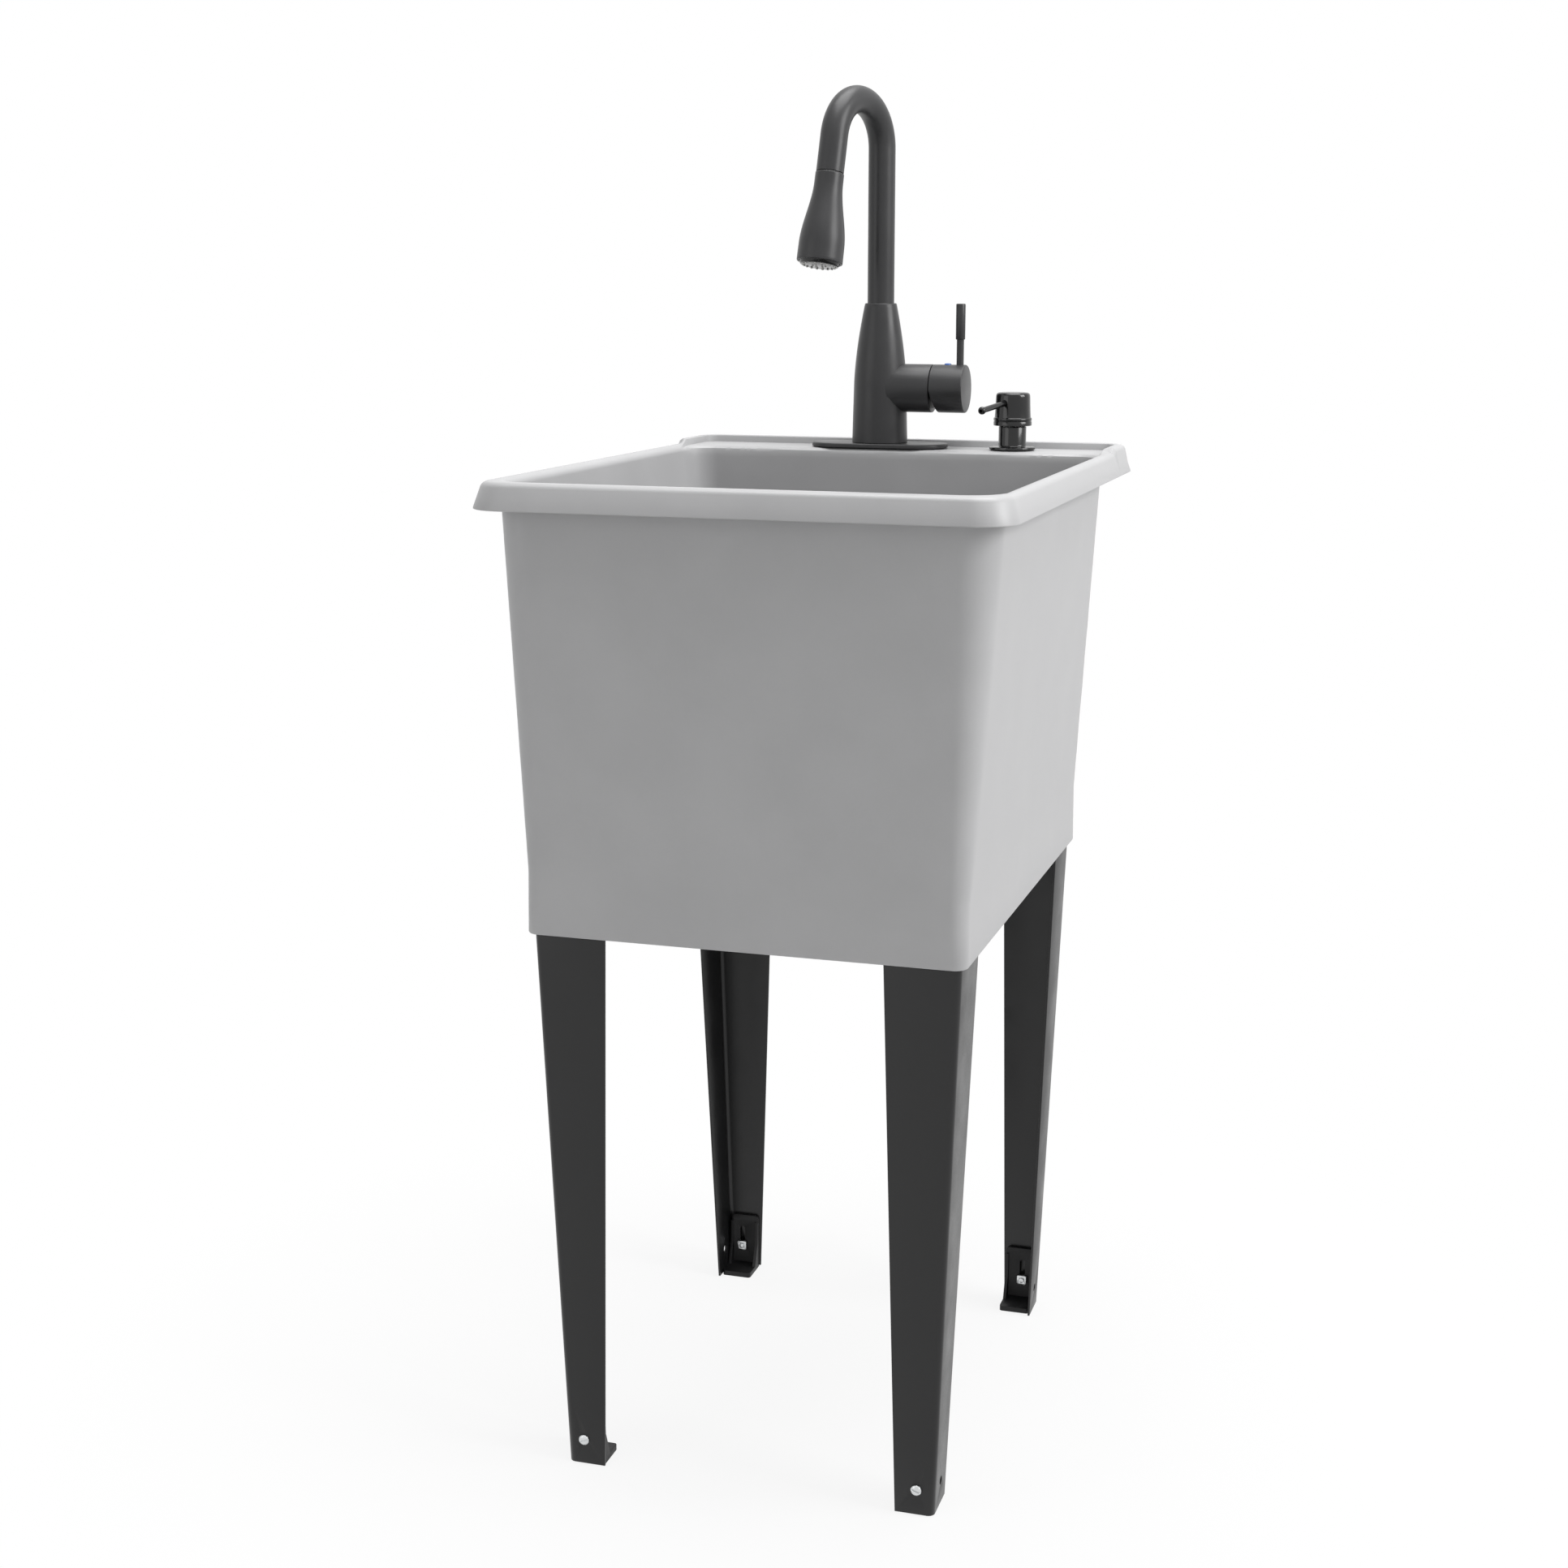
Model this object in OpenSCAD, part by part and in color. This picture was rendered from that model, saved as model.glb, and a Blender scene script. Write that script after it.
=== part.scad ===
// Free-standing utility laundry sink: a moulded plastic tub on four folded steel legs,
// with a pull-down tap and a soap dispenser on the deck behind the basin.
// Millimetres. The origin is on the floor under the middle of the rim; +X is right,
// -Y is the front and +Z is up.

/* [Rim and deck] */
// Width of the rim at the foot of its skirt
rim_w = 450; // [435:1:500]
// Depth of the rim, front to back
rim_d = 580; // [560:1:640]
// Height of the rim's crown above the floor
rim_h = 864; // [800:1:930]
// Height of the skirt that hangs from the rim
skirt_h = 22; // [16:1:34]
// Thickness of the skirt
skirt_t = 4; // [3:0.5:6]
// How far the skirt leans in towards the crown at the sides
skirt_lean_x = 6.6; // [3:0.1:9]
// How far the skirt leans in towards the crown at the front and back
skirt_lean_y = 8.7; // [3:0.1:10]
// Corner radius of the skirt at the front
skirt_front_r = 32; // [24:1:44]
// Corner radius of the skirt at the back
skirt_back_r = 25; // [20:1:40]
// Radius of the crown's outer edge
crown_r = 4; // [2:0.5:5]
// Radius that the rim rolls over into the basin
roll_r = 7; // [4:0.5:8]
// Drop from the rim's crown to the flat deck
deck_drop = 2; // [1:0.5:4]
// Thickness of the deck
deck_t = 5; // [4:0.5:7]
// Distance from the rim's back edge to the back wall of the body
deck_d = 77; // [74:1:90]
// Height of the raised ledge above the crown
ledge_rise = 4.5; // [3:0.5:8]
// Width of the ledge's foot behind the deck
ledge_w = 22; // [19:1:25]
// Distance from the rim's back edge to where the ledge starts on the side rims
ledge_run = 85; // [79:1:140]

/* [Tub body] */
// Height of the tub from the body's lower edge to the crown
tub_h = 377; // [340:1:420]
// Distance from the skirt's foot to the body wall at the sides
side_overhang = 16; // [14:1:22]
// Distance from the skirt's foot to the body wall at the front
front_overhang = 23; // [20:1:30]
// How far each side wall leans in from the skirt to the straight band
side_lean = 20; // [10:1:26]
// How far the front wall leans in
front_lean = 3; // [0:0.5:12]
// Height of the straight band at the body's foot
band_h = 54; // [48:1:70]
// Corner radius of the body under the skirt
body_top_r = 30; // [24:1:40]
// Corner radius of the body at the band
body_low_r = 14; // [11:1:20]
// Thickness of the body's walls
wall_t = 5; // [4:0.5:7]
// Thickness of the band's walls
band_t = 3.5; // [3:0.5:5]
// Depth of the basin from the crown to the floor round the drain
basin_depth = 325; // [280:1:330]
// Fall of the basin's floor towards the drain
floor_fall = 6; // [3:0.5:10]
// Thickness of the basin's floor
floor_t = 6; // [5:0.5:8]
// Radius between the basin's walls and floor
floor_r = 16; // [8:1:17]
// Corner radius of the basin at the rim
basin_top_r = 26; // [20:1:36]
// Corner radius of the basin at the floor
basin_low_r = 18; // [18:1:26]
// Thickness of the gussets under the deck
gusset_t = 3; // [2:0.5:5]
// How far a gusset runs down the back wall
gusset_h = 42; // [25:1:60]

/* [Legs] */
// Thickness of the legs' sheet steel
leg_t = 2; // [1.5:0.1:3]
// Outer radius of the fold
leg_fold_r = 6; // [4:0.5:9]
// Width of the front or back flange at the tub's lower edge
face_top_w = 64.2; // [50:0.2:76]
// Width of the front or back flange at the foot
face_low_w = 34; // [32:0.2:48]
// Width of the side flange at the tub's lower edge
side_top_w = 63.5; // [50:0.5:76]
// Width of the side flange at the foot
side_low_w = 40.5; // [34:0.5:50]
// How far a leg leans in across the width, from the tub to the floor
leg_lean_x = 18.2; // [5:0.1:26]
// How far a leg leans in from front to back
leg_lean_y = 8.2; // [2:0.1:16]
// Gap from the band's wall to the leg at the sides
leg_gap_x = 1.5; // [0.5:0.1:4]
// Gap from the band's wall to the leg at the front and back
leg_gap_y = 3.65; // [0.5:0.05:5]
// How far a leg runs up into its socket
socket_depth = 46; // [40:0.5:46]
// Thickness of the ribs round a socket
socket_rib = 3.2; // [2.5:0.1:5]
// Height of a leg's lower end above the floor
leg_lift = 1; // [0.5:0.1:3]
// Distance from the fold to the hole in each flange
face_hole_in = 16; // [15:0.5:17]
// Distance from the fold to the spare hole in the side flange
side_hole_in = 22; // [16:0.5:26]
// Diameter of the spare hole
side_hole_d = 7.5; // [5:0.5:9]

/* [Levelling feet] */
// Width of a foot
foot_w = 30; // [28:0.5:30]
// Height of a foot
foot_h = 57; // [52:1:66]
// Thickness of a foot's upright plate
foot_t = 3; // [2:0.5:4]
// Length of a foot's base, from the plate inwards
foot_base = 32; // [22:1:40]
// Thickness of a foot's base
foot_base_t = 5; // [4:0.5:8]
// Depth of the stiffening lips beside the plate
foot_lip = 4.5; // [3:0.5:7]
// Height of the gussets over the base
foot_gusset_h = 28; // [16:1:30]
// Travel of a foot on its screw
foot_travel = 18; // [8:1:20]
// Height of the screws above the floor
foot_screw_z = 24; // [20:0.5:25]
// Diameter of the foot screws
foot_screw_d = 4.8; // [4:0.1:6]
// Diameter of the screw heads
foot_head_d = 9.5; // [8:0.1:11]
// Height of the screw heads
foot_head_h = 2.8; // [2:0.1:4]
// Width of the square nuts
foot_nut_w = 9.5; // [8:0.1:10]
// Thickness of the square nuts
foot_nut_t = 3.4; // [3:0.1:4.5]

/* [Drain] */
// Distance of the drain from the back wall's inside
drain_back = 235; // [180:1:280]
// Diameter of the strainer's flange
drain_flange_d = 112; // [106:1:116]
// Thickness of the strainer's flange
drain_flange_t = 2; // [1:0.5:3]
// Depth of the recess that the flange lies in
drain_recess = 3; // [1:0.5:4]
// Outer diameter of the strainer's cup
drain_cup_d = 84; // [80:1:88]
// Depth of the strainer's cup under its flange
drain_cup_h = 46; // [42:1:50]
// Wall of the strainer's cup
drain_cup_t = 1.5; // [1.2:0.1:2.5]
// Outer diameter of the threaded outlet
drain_spigot_d = 47.7; // [44:0.1:50]
// Length of the threaded outlet
drain_spigot_h = 24; // [20:1:26]
// Bore of the threaded outlet
drain_spigot_bore = 38; // [34:0.5:39]
// Outer diameter of the gasket and the locknut's body
drain_nut_d = 102; // [98:1:106]
// Height of the locknut
drain_nut_h = 12; // [8:1:16]
// Thickness of the rubber gasket
drain_gasket_t = 3; // [2:0.5:4]
// Outer diameter of the tailpiece
tail_d = 38.1; // [36:0.1:40]
// Wall of the tailpiece
tail_t = 1.4; // [1:0.1:2]
// Length of the tailpiece under its flange
tail_l = 32; // [28:1:34]
// Height of the slip nut
slip_nut_h = 20; // [16:1:22]
// Wall of the slip nut outside its thread
slip_nut_t = 4.5; // [3.5:0.5:6]
// Diameter of the strainer basket's rim
basket_d = 76; // [72:1:78]
// Depth of the strainer basket
basket_h = 24; // [18:1:28]
// Wall of the strainer basket
basket_t = 1.2; // [1:0.1:2]
// Thickness of the basket's stopper
stopper_t = 5; // [3:0.5:6]

/* [Tap body] */
// Place of the tap across the deck, from the middle
tap_x = -20; // [-60:1:20]
// Distance of the tap from the rim's back edge
tap_back = 51.5; // [50:0.5:52]
// Width of the deck plate
plate_w = 136; // [110:1:180]
// Depth of the deck plate
plate_d = 59; // [57:0.5:59]
// Thickness of the deck plate
plate_t = 4; // [3:0.5:6]
// Radius of the column at its foot
column_low_r = 27.3; // [26.5:0.1:28.2]
// Radius of the column level with the valve arm
column_mid_r = 25.75; // [24.5:0.05:26.5]
// Radius of the column's top
column_top_r = 15.35; // [15.2:0.05:17]
// Height of the valve arm's axis above the deck
arm_h = 58; // [54:0.5:66]
// Height of the column above the deck
column_h = 139; // [132:1:150]
// Radius of the valve arm
arm_r = 23.2; // [22.5:0.1:24]
// Reach of the arm's face from the column's axis
arm_reach = 53.3; // [52:0.1:60]
// Outer diameter of the threaded shank
shank_d = 32; // [31:0.5:33]
// Bore of the threaded shank
shank_bore = 26; // [25.5:0.5:27]
// Length of the shank under the deck
shank_l = 45; // [30:1:60]
// Diameter of the tap hole in the deck
tap_hole_d = 35; // [34:0.5:38]
// Diameter of the mounting nut and its washers
tap_nut_d = 47; // [42:0.5:48]
// Height of the mounting nut
tap_nut_h = 12; // [9:0.5:15]
// Diameter of the hot and cold inlets
inlet_d = 9; // [8:0.1:9.2]
// Depth of the hot and cold inlets
inlet_l = 12; // [8:0.5:14]

/* [Handle] */
// Radius of the handle's cap
cap_r = 23.1; // [22.5:0.1:23.4]
// Length of the handle's cap
cap_l = 32.6; // [30:0.1:36]
// Wall of the handle's cap
cap_t = 2.7; // [2:0.1:3]
// Opening angle of the handle
flow_angle = 14; // [8:1:15]
// Gap between the arm and the cap
cap_gap = 0.6; // [0.5:0.1:1.2]
// Distance from the cap's end to the lever's axis
lever_in = 6.5; // [6:0.1:9]
// Diameter of the lever's rod
lever_d = 7; // [5:0.1:8]
// Height of the grip's lower end above the arm's axis
grip_z = 47; // [40:0.5:60]
// Length of the grip
grip_l = 34; // [20:0.5:50]
// Diameter of the grip
grip_d = 9.2; // [8.5:0.1:12]
// Diameter of the index button
dot_d = 7; // [6:0.1:7.4]
// Radius of the cartridge
cartridge_r = 17.5; // [16.5:0.1:17.8]

/* [Spout] */
// Radius of the spout's tube
spout_r = 13; // [12.6:0.1:13.1]
// Wall of the spout's tube
spout_t = 1.6; // [1.2:0.1:2]
// Height of the spout's bend above the deck
bend_z = 284; // [250:1:360]
// Radius of the bend at the tube's axis
bend_r = 43; // [38:0.5:70]
// Angle of the outlet off plumb
outlet_tilt = 12; // [6:0.5:20]
// Straight run of the tube after the bend
outlet_run = 35; // [30:0.5:45]
// How far the spout is turned left of straight ahead
spout_turn = 16.5; // [0:0.5:30]
// How far the spout runs down into the column
spout_seat = 40; // [34:1:44]

/* [Spray head] */
// Length of the spray head
spray_l = 83; // [76:1:96]
// Radius of the spray head at its joint with the tube
spray_top_r = 13.4; // [13.1:0.1:14]
// Radius of the spray head's mouth
spray_low_r = 21.6; // [19:0.1:23]
// Wall of the spray head
spray_t = 2.4; // [2:0.1:3]
// How far the face stands out of the spray head
face_proud = 3; // [1:0.5:4]
// Number of nozzles in the outer ring
nozzle_count = 18; // [12:1:22]
// Radius of the hose behind the spray head
hose_r = 5; // [4:0.1:5.2]
// How far the spray head pulls out on the hose's straight end
spray_pull = 45; // [20:1:45]

/* [Soap dispenser] */
// Place of the dispenser across the deck, from the middle
soap_x = 113; // [105:1:125]
// Radius of the dispenser's flange
soap_flange_r = 22.2; // [20:0.1:24]
// Height of the flange over the deck
soap_flange_h = 4; // [3.5:0.1:5]
// Radius of the neck
soap_neck_r = 13.35; // [13:0.05:14]
// Height of the neck's top above the deck
soap_neck_h = 23; // [22:0.5:26]
// Radius of the threaded shank under the deck
soap_shank_r = 12.5; // [12:0.1:12.9]
// Bore of the shank
soap_bore_r = 10.5; // [10.2:0.1:10.8]
// Diameter of the dispenser's hole in the deck
soap_hole_d = 28; // [27:0.5:32]
// Height of the pump head's lower edge above the deck
pump_low = 24; // [23.5:0.1:27]
// Height of the pump head
pump_h = 31.4; // [28:0.1:36]
// Radius of the pump head at its lower edge
pump_low_r = 18.5; // [17:0.1:20]
// Radius of the pump head at its top
pump_top_r = 16.3; // [15.6:0.1:18]
// Travel of the pump head
pump_travel = 14; // [8:0.5:15]
// Reach of the pump's spout from the pump's axis
pump_reach = 60; // [40:1:75]
// Diameter of the pump's spout
pump_spout_d = 5.5; // [5:0.1:6.5]
// How far the pump's spout is turned left of straight ahead
pump_turn = 18; // [0:1:40]
// Slope of the pump's spout
pump_slope = 7; // [2:0.5:8]
// Radius of the soap bottle
bottle_r = 23; // [18:0.5:24]
// Height of the soap bottle's body
bottle_h = 100; // [60:1:140]

/* [Fits] */
// Gap round a leg in its socket
socket_fit = 0.2; // [0.1:0.05:0.4]
// Gap between parts that slide or turn on each other
run_fit = 0.1; // [0.05:0.01:0.15]
// Gap between a foot and its leg
foot_fit = 0.3; // [0.2:0.05:0.5]
// Gap in a thread or between pieces that are pushed together
thread_fit = 0.05; // [0.02:0.01:0.1]

/* [Hidden] */
$fn = 64;

tub_colour = "#a3a3a4";
leg_colour = "#2e2e2f";
foot_colour = "#1f1f20";
black_finish = "#343435";
gloss_black = "#1c1c1d";
steel_colour = "#c9cbcc";
rubber_colour = "#26272a";
plastic_white = "#e4e4df";
button_blue = "#2456a8";

corner_steps = 6;
over = 1;

// Levels of the tub
skirt_z = rim_h - skirt_h;
deck_z = rim_h - deck_drop;
deck_under_z = deck_z - deck_t;
ledge_z = rim_h + ledge_rise;
tub_z = rim_h - tub_h;
band_z = tub_z + band_h;
floor_low_z = rim_h - basin_depth;
floor_high_z = floor_low_z + floor_fall;
floor_under_z = floor_high_z - floor_t;
drain_seat_z = floor_low_z - drain_recess;
drain_under_z = drain_seat_z - floor_t;

// Plan of the tub
rim_x = rim_w / 2;
rim_y = rim_d / 2;
body_x = rim_x - side_overhang;
body_front_y = -rim_y + front_overhang;
body_back_y = rim_y - deck_d;
band_x = body_x - side_lean;
band_front_y = body_front_y + front_lean;
basin_back_y = body_back_y - wall_t;
drain_y = basin_back_y - drain_back;
ledge_back_y = rim_y - ledge_w;
ledge_start_y = rim_y - ledge_run;

// Legs
leg_mid_y = (band_front_y + body_back_y) / 2;
leg_top_x = band_x - band_t - leg_gap_x;
leg_top_y = (body_back_y - band_front_y) / 2 - band_t - leg_gap_y;
leg_seat_z = tub_z + socket_depth;
leg_span = tub_z - leg_lift;
hole_z = foot_screw_z;

// Feet
foot_out_x = leg_x(leg_lift) - leg_t - foot_fit - 0.1;
foot_in_x = foot_out_x - foot_w;
foot_back_y = leg_y(leg_lift) - leg_t - foot_fit;
foot_slot_r = foot_screw_d / 2 + foot_fit;
foot_screw_x = leg_x(hole_z) - face_hole_in;
foot_seat_y = leg_y(hole_z + foot_head_d / 2);

// Drain
drain_cup_r = drain_cup_d / 2;
drain_cup_z = drain_seat_z - drain_cup_h;
drain_spigot_z = drain_cup_z - drain_spigot_h;
drain_ring_t = 1;
drain_nut_top_z = drain_under_z - drain_gasket_t - drain_ring_t;
tail_flange_t = 2;
tail_washer_t = 2;
tail_flange_z = drain_spigot_z - tail_washer_t - tail_flange_t;
tail_flange_r = drain_spigot_d / 2 - 1;
stopper_z = drain_cup_z + drain_cup_t;
basket_floor_z = stopper_z + stopper_t;
basket_rim_z = basket_floor_z + basket_h;
stopper_r = drain_spigot_bore / 2 + 5;

// Tap
tap_y = rim_y - tap_back;
gasket_t = 1;
plate_z = deck_z + gasket_t;
tap_foot_z = plate_z + plate_t;
arm_z = deck_z + arm_h;
column_top_z = deck_z + column_h;
arm_face_x = tap_x + arm_reach;
shank_low_z = deck_under_z - shank_l;
shank_top_z = tap_foot_z + 17;
washer_t = 3;
steel_washer_t = 2;
tap_nut_top_z = deck_under_z - washer_t - steel_washer_t;
inlet_x = 5.5;
inlet_y = 5.6;
hose_port_x = -6.3;
hose_port_r = 6.4;
port_top_z = shank_top_z + 20;
chamber_r = 11;

// Valve and handle, from the arm's face
cavity_l = 30.3;
nut_l = 7;
neck_r = 12;
rotor_r = 9;
pivot_x = arm_face_x - 3.3;
cap_x = arm_face_x + cap_gap;
cap_end_x = cap_x + cap_l;
cap_core_x = cap_x + 10;
lever_x = cap_end_x - lever_in;
dot_x = cap_core_x + 4;
stem_w = 7;
stem_tall = 8;
stem_end_x = cap_core_x + 9;
lever_foot_z = arm_z + 11;
set_screw_r = 2.5;

// Spout, in a frame whose X axis points where the spout points
spout_low_z = column_top_z - spout_seat;
bend_level_z = deck_z + bend_z;
bush_h = 26;
bush_out_r = column_top_r - 1.1;
ring_r = 1;
ring_zs = [spout_low_z + 4, spout_low_z + 9];
bend_proud = 0.02;
outlet_x = bend_r * (1 + cos(outlet_tilt)) + outlet_run * sin(outlet_tilt);
outlet_z = bend_level_z + bend_r * sin(outlet_tilt) - outlet_run * cos(outlet_tilt);
spray_gap = 0.8;
dock_r = 7.2;
dock_l = 12;

// Soap dispenser
soap_y = tap_y;
soap_pad_t = 1;
soap_low_z = deck_under_z - 24;
soap_nut_h = 8;
cylinder_r = 8;
cylinder_bore = 6.2;
cylinder_seat_z = deck_z + soap_neck_h - 5;
cylinder_low_z = deck_z - 42;
plunger_l = 6;
plunger_z = cylinder_seat_z + 1.4 - plunger_l;
stem_r = 3.2;
gland_t = 3;
bottle_neck_z = soap_low_z + 14;
bottle_top_z = soap_low_z - 6;
bottle_t = 1.4;
pump_z = deck_z + pump_low;
pump_top_z = pump_z + pump_h;
pump_spout_z = pump_top_z - 7.7;
pump_core_z = pump_z + pump_travel + 4;

// Half width of a leg's outer corner at height z
function leg_x(z) = leg_top_x - leg_lean_x * (tub_z - z) / leg_span;

// Half depth of a leg's outer corner at height z
function leg_y(z) = leg_top_y - leg_lean_y * (tub_z - z) / leg_span;

// Width of a flange at height z
function flange_w(top, low, z) = top - (top - low) * (tub_z - z) / leg_span;

// Points of one rounded corner, counted from angle a0
function corner(cx, cy, r, a0, z) = [
    for (i = [0:corner_steps])
        [cx + r * cos(a0 + 90 * i / corner_steps), cy + r * sin(a0 + 90 * i / corner_steps), z]
];

// Ring of a rounded rectangle with its own radius at the front and at the back
function ring(x, y0, y1, r_front, r_back, z) = concat(
    corner(x - r_back, y1 - r_back, r_back, 0, z),
    corner(-x + r_back, y1 - r_back, r_back, 90, z),
    corner(-x + r_front, y0 + r_front, r_front, 180, z),
    corner(x - r_front, y0 + r_front, r_front, 270, z)
);

// Solid through a stack of rings with equal numbers of points, lowest first
module loft(rings) {
    n = len(rings[0]);
    last = (len(rings) - 1) * n;
    polyhedron(
        points = [for (one = rings) for (p = one) p],
        faces = concat(
            [[for (i = [0:n - 1]) i]],
            [[for (i = [n - 1:-1:0]) last + i]],
            [for (k = [0:len(rings) - 2]) for (i = [0:n - 1])
                [k * n + i, (k + 1) * n + i, (k + 1) * n + (i + 1) % n]],
            [for (k = [0:len(rings) - 2]) for (i = [0:n - 1])
                [k * n + i, (k + 1) * n + (i + 1) % n, k * n + (i + 1) % n]]
        )
    );
}

// Round bar along X, Y or down -Z from a point
module bar_x(x, y, z, r, l) { translate([x, y, z]) rotate([0, 90, 0]) cylinder(h = l, r = r); }
module bar_y(x, y, z, r, l) { translate([x, y, z]) rotate([-90, 0, 0]) cylinder(h = l, r = r); }
module tube(r, bore, z, h) {
    translate([0, 0, z]) difference() {
        cylinder(h = h, r = r);
        translate([0, 0, -over]) cylinder(h = h + 2 * over, r = bore);
    }
}

// Ring of the rim's outer face: inset from the skirt's foot, at height z
function skirt_ring(z, inset) =
    let (up = (z - skirt_z) / skirt_h)
    ring(rim_x - skirt_lean_x * up - inset,
        -rim_y + skirt_lean_y * up + inset,
        rim_y - skirt_lean_y * up - inset,
        skirt_front_r - 4 * up - inset / 2,
        skirt_back_r - 2 * up - inset / 2, z);

// Rim with a rounded crown, hollow under its skirt
module rim_shell() {
    difference() {
        loft([
            skirt_ring(skirt_z, 0),
            skirt_ring(rim_h - crown_r, 0),
            for (a = [22.5:22.5:90])
                skirt_ring(rim_h - crown_r * (1 - sin(a)), crown_r * (1 - cos(a)))
        ]);
        loft([
            skirt_ring(skirt_z - over, skirt_t),
            skirt_ring(deck_under_z - 2, skirt_t),
            skirt_ring(deck_under_z, skirt_t + 2)
        ]);
    }
}

// Raised ledge that wraps the back corners, with ramps where it starts
module ledge() {
    edge = 2;
    difference() {
        loft([
            skirt_ring(deck_under_z, 0.2),
            skirt_ring(ledge_z - edge, 0),
            skirt_ring(ledge_z - edge * 0.3, edge * 0.3),
            skirt_ring(ledge_z, edge)
        ]);
        translate([-rim_w, ledge_start_y - rim_d, skirt_z]) cube([2 * rim_w, rim_d, rim_h]);
        translate([-rim_w, ledge_start_y, rim_h]) rotate([-45, 0, 0]) translate([0, -rim_d, 0])
            cube([2 * rim_w, rim_d, rim_h]);
        deck_pan(skirt_z);
    }
}

// Space over the flat deck, inside the ledge
module deck_pan(z) {
    draft = 2;
    pan_x = body_x - 1;
    pan_r = 12;
    loft([
        ring(pan_x, basin_back_y - 20, ledge_back_y, pan_r, pan_r, z),
        ring(pan_x, basin_back_y - 20, ledge_back_y, pan_r, pan_r, deck_z),
        ring(pan_x + draft, basin_back_y - 20, ledge_back_y + draft, pan_r, pan_r + draft, ledge_z + over)
    ]);
}

// Outside of the tub's body: leaning walls over a straight band
module body_solid() {
    mid_r = (body_top_r + body_low_r) / 2;
    loft([
        ring(band_x, band_front_y, body_back_y, body_low_r - 3, body_low_r - 3, tub_z),
        ring(band_x, band_front_y, body_back_y, body_low_r, body_low_r, band_z),
        ring((band_x + body_x) / 2, (band_front_y + body_front_y) / 2, body_back_y, mid_r, mid_r,
            (band_z + skirt_z) / 2),
        ring(body_x, body_front_y, body_back_y, body_top_r, body_top_r, skirt_z),
        ring(body_x, body_front_y, body_back_y, body_top_r, body_top_r, deck_under_z + over)
    ]);
}

// Ring of the basin at height z, drawn in by inset
function basin_ring(z, inset) =
    let (up = (z - floor_high_z) / (skirt_z - floor_high_z),
        r = basin_low_r + (basin_top_r - basin_low_r) * up)
    ring(band_x - wall_t + side_lean * up - inset,
        band_front_y + wall_t - front_lean * up + inset,
        basin_back_y - inset, max(r - inset, 2), max(r - inset, 2), z);

// Space inside the basin, with its dished floor and rolled edge
module basin_space() {
    pad_r = drain_flange_d / 2 + 6;
    roll_z = rim_h - roll_r;
    loft([
        [for (p = ring(pad_r, drain_y - pad_r, drain_y + pad_r, pad_r - 1, pad_r - 1, floor_low_z)) p],
        for (a = [0:18:90])
            basin_ring(floor_high_z + floor_r * (1 - cos(a)), floor_r * (1 - sin(a))),
        basin_ring(skirt_z, 0),
        for (a = [0:22.5:90])
            basin_ring(roll_z + roll_r * sin(a), -roll_r * (1 - cos(a))),
        basin_ring(ledge_z + over, -roll_r)
    ]);
}

// Space under the floor, inside the band
module band_space() {
    loft([
        ring(band_x - band_t, band_front_y + band_t, body_back_y - band_t, body_low_r - 6, body_low_r - 6,
            tub_z - over),
        ring(band_x - band_t, band_front_y + band_t, body_back_y - band_t, body_low_r - 6, body_low_r - 6,
            floor_under_z)
    ]);
}

// Underside of the dished floor
module floor_dish() {
    low_r = drain_flange_d / 2 + 8;
    wide = 90;
    loft([
        ring(low_r, drain_y - low_r, drain_y + low_r, low_r - 1, low_r - 1, drain_under_z),
        ring(low_r + wide, drain_y - low_r - wide, drain_y + low_r + wide, 40, 40, floor_under_z + over)
    ]);
}

// The same points in the opposite order
function backwards(list) = [for (i = [len(list) - 1:-1:0]) list[i]];

// Outline of a leg at height z: an L with a rounded fold, for one side and end
// grow thickens both faces and tip lengthens the flanges
function leg_ring(z, side, end, grow, tip) =
    let (x = leg_x(z), y = leg_y(z), u = flange_w(face_top_w, face_low_w, z) + tip,
        v = flange_w(side_top_w, side_low_w, z) + tip, r = leg_fold_r + grow,
        ri = max(leg_fold_r - leg_t - grow, 0.5), w = leg_t + grow,
        points = [for (p = concat(
            [[u, -grow], [u, w]],
            [for (i = [0:4]) [w + ri * (1 - sin(22.5 * i)), w + ri * (1 - cos(22.5 * i))]],
            [[w, v], [-grow, v]],
            [for (i = [0:4]) [r - grow - r * cos(22.5 * i), r - grow - r * sin(22.5 * i)]]
        )) [side * (x - p[0]), leg_mid_y + end * (y - p[1]), z]])
    backwards(points);

// Solid of a leg's section between two heights
module leg_loft(side, end, z0, z1, grow, tip) {
    loft([leg_ring(z0, side, end, grow, tip), leg_ring(z1, side, end, grow, tip)]);
}

// Places what is drawn for the right back corner at another corner
module at_corner(side, end) {
    translate([0, leg_mid_y, 0]) mirror([side < 0 ? 1 : 0, 0, 0]) mirror([0, end < 0 ? 1 : 0, 0]) children();
}

module every_corner() {
    for (side = [-1, 1]) for (end = [-1, 1]) at_corner(side, end) children();
}

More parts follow.
